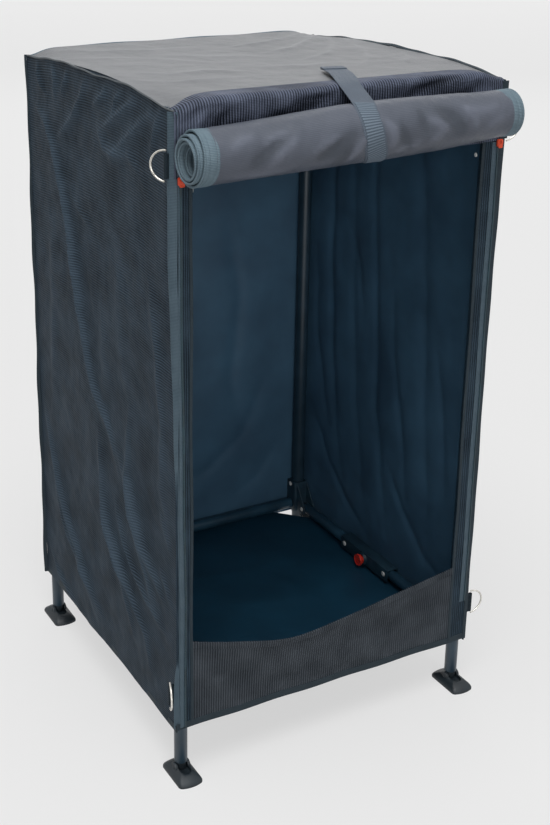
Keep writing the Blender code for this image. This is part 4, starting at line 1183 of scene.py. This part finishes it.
def zip_line(sign, low_z, count):
    """The heights of a door zip, its sideways wave and the place of its coil at each."""
    z = np.linspace(low_z, ZIP_HIGH_Z, count)
    coil_x = ZIP_COIL_X if sign > 0 else np.interp(z, LEFT_ZIP_Z, LEFT_COIL_X)
    return z, 0.0005 * np.sin(z * 21 + 2 * sign), coil_x


def zip_half(side, sign):
    """One half of a door zip: its woven tape and its coil of teeth."""
    low_z = ZIP_LOW_Z if sign > 0 else HEM_FRONT_Z
    across = (sign, 0.0, 0.0)
    z, wave, coil_x = zip_line(sign, low_z, 150)
    middle_x, widths = ZIP_TAPE_X, ZIP_TAPE_WIDTH
    if sign < 0:
        middle_x, widths = (CORNER_EDGE_X + coil_x) / 2, CORNER_EDGE_X - coil_x
    centres = rows(sign * (middle_x + wave), ZIP_TAPE_Y, z)
    tape(f"{side}_zip_tape", centres, across, FRONTWARDS, widths, ZIP_TAPE, "zip tape")
    turns = int((ZIP_HIGH_Z - low_z) / COIL_PITCH) * 2 + 1
    z, wave, coil_x = zip_line(sign, low_z, turns)
    widths = COIL_WIDTH * (1 - COIL_NOTCH * (np.arange(turns) % 2))
    centres = rows(sign * (coil_x + wave), ZIP_COIL_Y, z)
    tape(f"{side}_zip_coil", centres, across, FRONTWARDS, widths, COIL_HEIGHT, "coil")


def opening_binding(side, sign):
    """The bound inner edge of a front strip."""
    z = np.linspace(HEM_FRONT_Z, OPENING_TOP_Z, 120)
    x = sign * (OPENING_EDGE[side] + 0.002) + 0.0008 * np.sin(z * 19 + sign)
    centres = rows(x, -COVER_Y - 0.0014, z)
    tape(f"{side}_opening_binding", centres, (sign, 0.0, 0.0), FRONTWARDS, 0.005, 0.0022, "dark tape")


def hem_binding(side, sign):
    """The bound hem of a side."""
    y = np.linspace(COVER_Y, -COVER_Y, 90)
    z = side_hem_z(y, sign) + 0.004 + 0.0006 * np.sin(y * 60)
    centres = rows(sign * (COVER_X - 0.0002), y, z)
    sideways = (sign, 0.0, 0.0)
    name = f"{side}_hem_binding"
    return tape(name, centres, UPWARDS, sideways, HEM_TAPE_WIDTH, HEM_TAPE + CLOTH, "dark tape")


def front_hem_binding():
    x = np.linspace(-COVER_X, COVER_X, 90)
    centres = rows(x, -COVER_Y - 0.0010, HEM_FRONT_Z + 0.002 + 0.0008 * np.sin(x * 45))
    tape("front_hem_binding", centres, UPWARDS, FRONTWARDS, HEM_TAPE_WIDTH, 0.0024, "dark tape")


def kick_binding():
    """The rolled hem along the kick panel's top edge."""
    share = np.linspace(0, 1, 120)
    line = rows(*kick_place(share, 0 * share + 0.965))
    across = rows(*kick_place(share, 0 * share + 1.005)) - line
    outwards = np.cross(across, np.gradient(line, axis=0))
    outwards *= -np.sign(outwards[:, 1:2])
    line[:, 1] -= 0.0002
    tape("kick_top_hem", line, across, outwards, 0.0125, 0.0030, "kick cloth")


def header_binding():
    """The rolled hem along the band's lower edge, over the opening."""
    x = np.linspace(-OPENING_EDGE["right"], OPENING_EDGE["right"], 100)
    centres = rows(x, -HEADER_FRONT_Y + 0.0002, OPENING_TOP_Z + 0.004)
    tape("front_band_hem", centres, UPWARDS, FRONTWARDS, 0.010, 0.0026, "front cloth")


# The steel frame

# Uprights, rails and their fittings
UPRIGHT_RADIUS = 0.0125
LEG_END_RADIUS = 0.011
LEG_TOP_Z = 1.1057
LEG_END_TOP_Z = 0.095
LEG_TAPER = 0.004
LEG_BOTTOM_Z = 0.024
TUBE_WALL = 0.001
TUBE_SIDES = 40
EAR_OUT = 0.0124
BRACKET_OUT = 0.018
# How far the screw through each bracket and its leg is above the bracket's rail
BRACKET_SCREWS = {"bottom": 0.045, "top": -0.045}
CROSS_RAIL_RADIUS = 0.011
SIDE_RAIL_RADIUS = 0.010
RAIL_END_RADIUS = 0.0102
RAIL_LENGTH = 0.165
FOOT_PIN_Z = 0.013
FOOT_SIZE = (0.043, 0.066)
FOOT_BULGE = 0.005
FOOT_FORWARD = 0.006
FOOT_EDGE = 0.003
FOOT_CORNER = 0.0045
FOOT_DOME = ((0.0022, 0.965), (0.0024, 0.93), (0.0026, 0.87), (0.0026, 0.82), (0.0020, 0.74), (0.0012, 0.62))
POCKET = (0.018, -0.027, 0.012)
CHEEK_RADIUS = 0.009
CHEEK_REACH = 0.0135
TIP_RADIUS = 0.0085
BUTTON_RADIUS = 0.0118
BUTTON_NECK_RADIUS = 0.0090
BUTTON_STEM_RADIUS = 0.0036
# Along the button: the stem's end, the neck's start, the head's start and its face
BUTTON_STEM_Z = 0.0064
BUTTON_NECK_Z = 0.0167
BUTTON_HEAD_Z = 0.0228
BUTTON_END = 0.0270
BUTTON_DISH = 0.0009
BUTTON_RIM = 0.0016
BUTTON_SLIT = (0.0024, 0.0120, 0.0040)
# The radius and height of each kind of rivet head
RIVETS = {
    "foot": (0.0040, 0.0012), "bracket": (0.0046, 0.0016), "hub": (0.0050, 0.0018),
    "leg": (0.0036, 0.0012),
}
POCKET_MIDDLE_Z = 0.0165
POCKET_HEIGHT = 0.04
PLUG_LENGTH = 0.018
PLUG_STEP = 0.0004
QUARTER_TURN = math.pi / 2
LYING_ALONG_X = (0, QUARTER_TURN, 0)


def at(*place):
    return Matrix.Translation(place)


def facing_x(sign):
    """Turns a shape that looks up so that it looks along X."""
    return Matrix.Rotation(sign * QUARTER_TURN, 4, "Y")


def ring_at(z):
    """Picks edges that lie in one level plane."""
    return lambda edge: all(abs(vert.co.z - z) < 1e-5 for vert in edge.verts)


def spans(axis, shortest):
    """Picks edges that reach further than a length along an axis."""
    return lambda edge: abs(edge.verts[0].co[axis] - edge.verts[1].co[axis]) > shortest


def round_edges(piece, test, offset, segments):
    pick(piece, "EDGE", test)
    bpy.ops.mesh.bevel(offset=offset, segments=segments, affect="EDGES")
    leave_edit()


def combine(piece, other, operation):
    """Adds another shape to a piece or cuts it out, and takes the other away."""
    apply_modifier(piece, "BOOLEAN", operation=operation, object=other)
    discard(other)


def block(name, place, size):
    return start(CUBE, name, size=1.0, location=place, scale=size)


def disc(name, sides, radius, low, high):
    """A closed cylinder that stands upright between two heights."""
    middle = (0, 0, (low + high) / 2)
    return start(CYLINDER, name, vertices=sides, radius=radius, depth=high - low, location=middle)


def open_cylinder(name, radius, length, place=(0, 0, 0), turn=(0, 0, 0)):
    return start(
        CYLINDER, name, vertices=TUBE_SIDES, radius=radius, depth=length, location=place, rotation=turn,
        end_fill_type="NOTHING",
    )


def hollow(piece):
    """Turns an open shape into tube, with a wall and softened rims."""
    apply_modifier(piece, "SOLIDIFY", thickness=TUBE_WALL, offset=-1.0)
    return softened(piece, 0.0003, 50, 40)


def leg_shape():
    """An upright, its lower end drawn down to the thinner leg end."""
    low = LEG_END_TOP_Z + LEG_TAPER
    piece = open_cylinder("leg_shape", UPRIGHT_RADIUS, LEG_TOP_Z - low, (0, 0, (LEG_TOP_Z + low) / 2))
    pick(piece, "EDGE", ring_at(low))
    push((0, 0, -LEG_TAPER))
    grow(LEG_END_RADIUS / UPRIGHT_RADIUS, (0, 0, LEG_END_TOP_Z))
    push((0, 0, LEG_BOTTOM_Z - LEG_END_TOP_Z))
    leave_edit()
    return hollow(piece)


def cross_rail_shape():
    length = 2 * (LEG_X - BRACKET_OUT - 0.0003)
    return hollow(open_cylinder("cross_rail_shape", CROSS_RAIL_RADIUS, length, turn=LYING_ALONG_X))


def half_rail_shape():
    """Half a side rail from its pivot at the origin along +Y, with round ends."""
    middle = (0, RAIL_LENGTH / 2, 0)
    piece = open_cylinder("half_rail_shape", SIDE_RAIL_RADIUS, RAIL_LENGTH, middle, (QUARTER_TURN, 0, 0))
    for vert in piece.data.vertices:
        outward = math.sqrt(RAIL_END_RADIUS ** 2 - vert.co.z ** 2)
        vert.co.y += outward if vert.co.y > RAIL_LENGTH / 2 else -outward
    return hollow(piece)


def rivet_shape(kind):
    """A domed rivet head on the XY plane."""
    radius, height = RIVETS[kind]
    piece = disc("rivet_shape", 24, radius, 0, height * 0.4)
    pick(piece, "FACE", lambda face: face.normal.z > 0.9)
    push((0, 0, height * 0.35))
    grow(0.82, (0, 0, height * 0.75))
    push((0, 0, height * 0.25))
    grow(0.5, (0, 0, height))
    leave_edit()
    return smooth(piece, 50)


def from_node(node, name):
    """A merged copy of a model node with softened edges, about the cupboard's middle."""
    piece = bpy.data.objects.new(name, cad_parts[node].data.copy())
    piece.data.materials.clear()
    bpy.context.scene.collection.objects.link(piece)
    piece.data.transform(Matrix.Translation(-MIDDLE))
    pick(piece, "VERT")
    bpy.ops.mesh.remove_doubles(threshold=0.00001)
    bpy.ops.mesh.dissolve_limited(angle_limit=math.radians(1))
    leave_edit()
    return softened(piece, 0.0005, 32, 32)


def foot_pad():
    """The foot's sole, with bowed ends and rounded corners, and the dome on it."""
    width, length = FOOT_SIZE
    piece = block("foot_shape", (0, -FOOT_FORWARD, -FOOT_PIN_Z + FOOT_EDGE / 2), (width, length, FOOT_EDGE))
    pick(piece, "EDGE", spans(0, width / 2))
    bpy.ops.mesh.subdivide(number_cuts=9)
    leave_edit()
    for vert in piece.data.vertices:
        share = 1 - (vert.co.x / (width / 2)) ** 2
        vert.co.y += math.copysign(FOOT_BULGE * share, vert.co.y + FOOT_FORWARD)
    upright = spans(2, FOOT_EDGE / 2)
    round_edges(
        piece, lambda edge: upright(edge) and abs(abs(edge.verts[0].co.x) - width / 2) < 1e-4, FOOT_CORNER, 4,
    )
    pick(piece, "FACE", lambda face: face.normal.z > 0.9)
    height = -FOOT_PIN_Z + FOOT_EDGE
    for rise, factor in FOOT_DOME:
        push((0, 0, rise))
        height += rise
        grow(factor, (0, -FOOT_FORWARD, height))
    leave_edit()
    return piece


def foot_shape():
    """A domed rubber pad about its pin, with a long pocket for the leg tip and a cheek on each side of it."""
    piece = foot_pad()
    length = 2 * CHEEK_REACH
    cheeks = start(
        CYLINDER, "foot_cheeks", vertices=40, radius=CHEEK_RADIUS, depth=length, rotation=LYING_ALONG_X,
    )
    pocket_width, front, back = POCKET
    middle = (0, (front + back) / 2, POCKET_MIDDLE_Z)
    pocket = block("foot_pocket", middle, (pocket_width, back - front, POCKET_HEIGHT))
    round_edges(pocket, spans(2, 0.02), pocket_width / 2 - 0.0002, 8)
    combine(piece, cheeks, "UNION")
    combine(piece, pocket, "DIFFERENCE")
    softened(piece, 0.0006, 48, 42)
    rivets = []
    for sign in (-1, 1):
        head = rivet_shape("foot")
        head.data.transform(at(sign * (CHEEK_REACH - 0.0002), 0, 0) @ facing_x(sign))
        rivets.append(head)
    return joined("foot_shape", piece, *rivets)


def leg_plug_shape():
    """The plug in a leg's end: a ball at the foot pin, a neck, and the plug up the bore."""
    leg_end = LEG_BOTTOM_Z - FOOT_PIN_Z
    ball = bpy.ops.mesh.primitive_uv_sphere_add
    piece = start(ball, "leg_plug_shape", segments=32, ring_count=16, radius=TIP_RADIUS)
    pick(piece, "FACE", lambda face: face.calc_center_median().z > 0)
    bpy.ops.mesh.delete(type="FACE")
    leave_edit()
    pick(piece, "EDGE", ring_at(0.0))
    push((0, 0, leg_end - 2 * PLUG_STEP))
    push((0, 0, PLUG_STEP))
    grow(LEG_END_RADIUS / TIP_RADIUS * 0.985, (0, 0, leg_end))
    push((0, 0, PLUG_STEP))
    grow(0.90, (0, 0, leg_end))
    push((0, 0, PLUG_LENGTH))
    bpy.ops.mesh.edge_face_add()
    leave_edit()
    return smooth(piece, 50)


def button_shape():
    """A lock button that looks along +Z: a dished face with a slit across it, on a stem."""
    piece = disc("button_shape", 40, BUTTON_RADIUS, BUTTON_HEAD_Z, BUTTON_END)
    dish_z = BUTTON_END - BUTTON_DISH
    pick(piece, "FACE", lambda face: face.normal.z > 0.9)
    bpy.ops.mesh.inset(thickness=BUTTON_RIM)
    push((0, 0, -BUTTON_DISH))
    grow(0.96, (0, 0, dish_z))
    leave_edit()
    pick(piece, "FACE", lambda face: face.normal.z < -0.9)
    bpy.ops.mesh.inset(thickness=BUTTON_RADIUS - BUTTON_NECK_RADIUS)
    push((0, 0, BUTTON_NECK_Z - BUTTON_HEAD_Z))
    bpy.ops.mesh.inset(thickness=BUTTON_NECK_RADIUS - BUTTON_STEM_RADIUS)
    push((0, 0, BUTTON_STEM_Z - BUTTON_NECK_Z))
    leave_edit()
    combine(piece, block("button_slit", (0, 0, dish_z), BUTTON_SLIT), "DIFFERENCE")
    return softened(piece, 0.0005, 40, 40)


def make_end_frames():
    """Legs, rails, brackets, leg plugs and feet of the front and rear frames."""
    leg, rail, plug, foot = leg_shape(), cross_rail_shape(), leg_plug_shape(), foot_shape()
    rivet = rivet_shape("bracket")
    for end, end_sign in ENDS:
        body, leg_y = f"{end}_frame", end_sign * LEG_Y
        for side, side_sign in SIDES:
            corner, leg_x, inwards = f"{end}_{side}", side_sign * LEG_X, facing_x(-side_sign)
            pin = at(leg_x, leg_y, FOOT_PIN_Z)
            placed(leg, f"{corner}_leg_tube", at(leg_x, leg_y, 0), body, "tube", [f"{corner}_leg"])
            placed(plug, f"{corner}_leg_plug", pin, body, "moulded", [f"{corner}_leg_tip"])
            node = f"{corner}_foot"
            placed(foot, f"{node}_pad", pin, node, "moulded", [node])
            for level, z in LEVELS:
                node = f"{corner}_{level}_bracket"
                finished(from_node(node, f"{node}_moulding"), body, "hub", [node])
                # The rivet and screw heads take the pale painted glint.
                pivot = at(side_sign * (LEG_X - EAR_OUT), end_sign * PIVOT_Y, z)
                placed(rivet, f"{node}_rivet", pivot @ inwards, body, "cap")
                screw = at(side_sign * (LEG_X - BRACKET_OUT), leg_y, z + BRACKET_SCREWS[level])
                placed(rivet, f"{node}_screw", screw @ inwards, body, "cap")
        for level, z in LEVELS:
            place, node = at(0, leg_y, z), f"{end}_{level}_rail"
            placed(rail, f"{node}_tube", place, body, "rail", [node])
    discard(leg, rail, plug, foot, rivet)


def make_side_rails():
    """Folding rails with their hubs, bolts and lock buttons."""
    rail, button, rivet = half_rail_shape(), button_shape(), rivet_shape("hub")
    for side, side_sign in SIDES:
        x, inwards = side_sign * LEG_X, facing_x(-side_sign)
        for level, z in LEVELS:
            name, hub = f"{side}_{level}", f"{side}_{level}_hub"
            for end, y in (("front", -PIVOT_Y), ("rear", HUB_BOLT_Y)):
                node = f"{name}_{end}_half_rail"
                placed(rail, f"{node}_tube", at(x, y, z), f"{name}_{end}_half", "rail", [node])
            finished(from_node(hub, f"{hub}_moulding"), hub, "hub", [hub])
            for end, end_sign in ENDS:
                # The bolt heads take the pale painted glint.
                bolt = at(x - side_sign * EAR_OUT, end_sign * HUB_BOLT_Y, z)
                placed(rivet, f"{hub}_{end}_bolt_head", bolt @ inwards, hub, "cap")
            place, node = at(x, 0, z) @ inwards, f"{name}_lock_button"
            placed(button, f"{name}_button_cap", place, f"{name}_button", "red", [node])
    discard(rail, button, rivet)


# Rings, tabs and zip pulls

RING_WIRE = 0.0015
RING_HALF_HEIGHT = 0.0225
RING_REACH = 0.0255
RING_BAR_X = {"left": 0.2976, "right": 0.3051}
RING_BAR_Y = -0.2763
RING_LEVELS = (("lower", 0.160), ("upper", 1.026))
# Half the length of a row of stitches, and how far it is in front of the bar
STITCH_REACH = 0.016
STITCH_OUT = 0.0014
# The rows' places on a tab, as shares of its reach
STITCH_ROWS = (0.55, 0.85)
# How far each ring has swung on its bar, towards the back
RING_TURNS = {"left_lower": -70, "left_upper": 58, "right_lower": 0, "right_upper": 0}
TAB_WIDTH = 0.036
TAB_CLOTH = 0.0012
TAB_OUT = {"left": 0.0075, "right": 0.015}
PULL_X = {"left": 0.2803, "right": 0.2833}
PULL_Y = 0.2846
PULL_Z = 1.005
LEG_SCREW = (0.2534, 0.2700, 0.985)
STITCH_LENGTH = 0.0026
STITCH_GAP = 0.0014
STITCH_WIDTH = 0.0007


def ring_shape():
    """A D ring about its straight bar, its bow towards +X."""
    piece = start(
        bpy.ops.mesh.primitive_circle_add, "ring_shape", vertices=14, radius=RING_WIRE,
        location=(0, 0, -RING_HALF_HEIGHT), rotation=LYING_ALONG_X,
    )
    pick(piece, "VERT")
    bpy.ops.mesh.spin(steps=28, angle=-math.pi, center=(0, 0, 0), axis=(0, 1, 0))
    leave_edit()
    if sum(vert.co.x for vert in piece.data.vertices) < 0:
        piece.data.transform(Matrix.Diagonal((-1, 1, 1, 1)))
    piece.data.transform(Matrix.Diagonal((RING_REACH / RING_HALF_HEIGHT, 1, 1, 1)))
    pick(piece, "VERT")
    bpy.ops.mesh.remove_doubles(threshold=0.00001)
    bpy.ops.mesh.select_mode(type="EDGE")
    bpy.ops.mesh.select_all(action="DESELECT")
    bpy.ops.mesh.select_non_manifold()
    bpy.ops.mesh.bridge_edge_loops()
    leave_edit()
    right_side_out(piece)
    return smooth(piece, 60)


def tab_shape(reach):
    """A folded webbing tab about the ring's bar, sewn on at -X of it, in a line of two layers."""
    loop = RING_WIRE + 0.0003 + TAB_CLOTH / 2
    angles = np.linspace(-0.75 * QUARTER_TURN - 0.4, 0.75 * QUARTER_TURN + 0.4, 15)
    bend = [(loop * math.cos(angle), loop * math.sin(angle)) for angle in angles]
    layers = list(zip(np.linspace(-reach, -0.0035, 4), (0.0007, 0.0007, 0.0008, 0.0014)))
    line = [(x, -rise) for x, rise in layers] + bend + [(x, rise) for x, rise in reversed(layers)]
    centres = np.array([(x, y, 0.0) for x, y in line])
    run = np.gradient(centres, axis=0)
    return strip("tab_shape", centres, UPWARDS, rows(run[:, 1], -run[:, 0], 0), TAB_WIDTH, TAB_CLOTH)


def stitch_row(name, first, last):
    """A row of sewn stitches on the front of a tab, each a small flat lozenge of thread."""
    first, last, normal = Vector(first), Vector(last), Vector(FRONTWARDS)
    run = last - first
    count = int(run.length / (STITCH_LENGTH + STITCH_GAP))
    along = run.normalized() * STITCH_LENGTH / 2
    side = run.normalized().cross(normal) * STITCH_WIDTH / 2
    points, faces = [], []
    for number in range(count):
        centre = first + run * ((number + 0.5) / count)
        a, b, c, d, e = range(5 * number, 5 * number + 5)
        points += [centre - along, centre - side, centre + along, centre + side]
        points.append(centre + normal * STITCH_WIDTH * 0.8)
        faces += [(a, b, e), (b, c, e), (c, d, e), (d, a, e), (d, c, b, a)]
    piece = new_piece(name, points, faces)
    right_side_out(piece)
    return finished(piece, "front_frame", "thread")


def pull_shape():
    """A zip slider with its long tag, about the slider's middle on the cloth, looking along -Y."""
    slider = block("pull_slider", (0, -0.0019, 0), (0.0105, 0.0038, 0.012))
    round_edges(slider, spans(1, 0.002), 0.0026, 4)
    tag = block("pull_tag", (0, -0.0040, -0.0034), (0.0085, 0.0016, 0.0092))
    round_edges(tag, spans(1, 0.001), 0.0022, 4)
    pick(tag, "FACE", lambda face: face.normal.y < -0.9)
    bpy.ops.mesh.inset(thickness=0.0012)
    push((0, 0.0005, 0))
    leave_edit()
    bridge = start(
        bpy.ops.mesh.primitive_torus_add, "pull_bridge", major_segments=20, minor_segments=8,
        major_radius=0.0030, minor_radius=0.0007, location=(0, -0.0038, 0.0020), rotation=LYING_ALONG_X,
    )
    return softened(joined("pull_shape", slider, tag, bridge), 0.0004, 45, 45)


def make_rings(side, sign, ring):
    """A side's two rings, in their tabs with two rows of stitches each."""
    bar_x, reach = RING_BAR_X[side], TAB_OUT[side]
    tab = tab_shape(reach)
    for level, z in RING_LEVELS:
        name, bar = f"{side}_{level}", at(sign * bar_x, RING_BAR_Y, z)
        swung = math.radians(RING_TURNS[name])
        turn = Matrix.Rotation(math.pi - swung if sign < 0 else swung, 4, "Z")
        placed(ring, f"{name}_d_ring", bar @ turn, f"{name}_ring", "steel", [f"{name}_ring"])
        place, node = bar @ Matrix.Diagonal((sign, 1, 1, 1)), f"{name}_ring_tab"
        placed(tab, f"{name}_webbing_tab", place, "front_frame", "dark webbing", [node])
        for row, share in enumerate(STITCH_ROWS):
            x, y = sign * (bar_x - share * reach), RING_BAR_Y - STITCH_OUT
            stitch_row(f"{name}_tab_stitches_{row}", (x, y, z - STITCH_REACH), (x, y, z + STITCH_REACH))
    discard(tab)


def make_fittings():
    """Rings in their tabs, zip pulls and the screws in the front legs."""
    ring, pull, screw = ring_shape(), pull_shape(), rivet_shape("leg")
    screw_x, screw_y, screw_z = LEG_SCREW
    for side, sign in SIDES:
        make_rings(side, sign, ring)
        place, node = at(sign * PULL_X[side], -PULL_Y - 0.0037, PULL_Z), f"{side}_zip_pull"
        placed(pull, f"{side}_zip_slider", place, node, "orange", [node])
        # The screw heads take the pale painted glint.
        place = at(sign * screw_x, -screw_y, screw_z) @ facing_x(-sign)
        placed(screw, f"front_{side}_leg_screw", place, "front_frame", "cap")
    discard(ring, pull, screw)


cover = [make_roof(), make_side("left", -1), make_side("right", 1), make_floor()]
make_back()
make_header()
for side, sign in SIDES:
    make_front_strip(side, sign)
make_kick()
make_door()
make_strap()
bindings = []
for side, sign in SIDES:
    bindings += [side_fin(side, sign), hem_binding(side, sign)]
    rear_corner_fin(side, sign)
    front_corner_tape(side, sign)
    zip_half(side, sign)
    opening_binding(side, sign)
rear_fin()
front_hem_binding()
kick_binding()
header_binding()
make_end_frames()
make_side_rails()
make_fittings()
for piece in cover + bindings:
    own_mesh(piece)


# Camera, light and floor

CAMERA_PLACE = Vector((-1.0955, -1.9134, 1.4473))
CAMERA_AZIMUTH = math.radians(-27.849)
CAMERA_ELEVATION = math.radians(19.051)
CAMERA_ROLL = math.radians(0.149)
CAMERA_LENS = 58.22
CAMERA_SHIFT = (0.0812, -0.128)
FLOOR_WIDTH = 80.0
WORLD_SEEN = 1.0
WORLD_LIGHT = 0.22
# Each lamp's place, width in metres and power in watts
LAMPS = {
    "overhead": ((-1.2, -1.6, 7.0), 5.0, 400),
    "front": ((-1.6, -5.0, 2.2), 3.0, 70),
    "rear": ((3.0, 5.0, 3.0), 4.0, 40),
}
LAMP_TARGET = Vector((0, 0, 0.6))


def make_camera():
    """A camera at the photograph's viewing angle."""
    azimuth, elevation = CAMERA_AZIMUTH, CAMERA_ELEVATION
    right = Vector((math.cos(azimuth), math.sin(azimuth), 0.0))
    level = math.cos(elevation)
    back = Vector((math.sin(azimuth) * level, -math.cos(azimuth) * level, math.sin(elevation)))
    up = back.cross(right)
    turned_right = math.cos(CAMERA_ROLL) * right + math.sin(CAMERA_ROLL) * up
    turned_up = math.cos(CAMERA_ROLL) * up - math.sin(CAMERA_ROLL) * right
    data = bpy.data.cameras.new("camera")
    data.lens = CAMERA_LENS
    data.shift_x, data.shift_y = CAMERA_SHIFT
    camera = bpy.data.objects.new("camera", data)
    turn = Matrix((turned_right, turned_up, back)).transposed().to_4x4()
    camera.matrix_world = Matrix.Translation(CAMERA_PLACE + MIDDLE) @ turn
    bpy.context.scene.collection.objects.link(camera)
    bpy.context.scene.camera = camera


def add_lamp(name, place, width, power):
    data = bpy.data.lights.new(name, "AREA")
    data.shape = "DISK"
    data.size = width
    data.energy = power
    lamp = bpy.data.objects.new(name, data)
    lamp.location = place
    lamp.rotation_euler = (LAMP_TARGET - Vector(place)).to_track_quat("-Z", "Y").to_euler()
    bpy.context.scene.collection.objects.link(lamp)


def backdrop_rays(tree):
    """1 for the rays that show the backdrop: those of the camera, and those that metal or glass sends on."""
    seen = add(tree, "LightPath", {}, "Is Camera Ray")
    path = seen.node
    for kind in ("Is Glossy Ray", "Is Transmission Ray"):
        seen = add(tree, "Math", {0: seen, 1: path.outputs[kind]}, operation="MAXIMUM")
    return seen


def make_studio():
    """A pale floor that keeps the shadow, a pale world behind it, and soft light from above and the front."""
    world = bpy.data.worlds.new("studio_world")
    world.use_nodes = True
    bpy.context.scene.world = world
    tree = world.node_tree
    background = tree.nodes["Background"]
    background.inputs["Color"].default_value = linear("#e9e9e9")
    strength = add(tree, "Mix", {0: backdrop_rays(tree), 2: WORLD_LIGHT, 3: WORLD_SEEN})
    tree.links.new(strength, background.inputs["Strength"])
    floor = start(bpy.ops.mesh.primitive_plane_add, "studio_floor", size=FLOOR_WIDTH)
    floor.data.materials.append(painted_floor())
    for name, (place, width, power) in LAMPS.items():
        add_lamp(name, place, width, power)


def painted_floor():
    """Matt white studio paint: seen directly it is an even pale grey that only the shadow darkens."""
    material, tree, shader = new_material("painted_studio_floor", 0.9, Emission_Color=linear("#ffffff"))
    seen = backdrop_rays(tree)
    paint = add(tree, "Mix", {0: seen, 6: linear("#c9c9c9"), 7: linear("#7c7c7c")}, 2, data_type="RGBA")
    tree.links.new(paint, shader.inputs["Base Color"])
    place = add(tree, "TexCoord", {}, "Object")
    distance = add(tree, "VectorMath", {0: place}, "Value", operation="LENGTH")
    glow = add(tree, "MapRange", {0: distance, 2: 12.0, 3: 0.60, 4: 0.74})
    tree.links.new(add(tree, "Mix", {0: seen, 2: 0.0, 3: glow}), shader.inputs["Emission Strength"])
    return material


make_camera()
make_studio()
bpy.context.scene.view_settings.view_transform = "Standard"
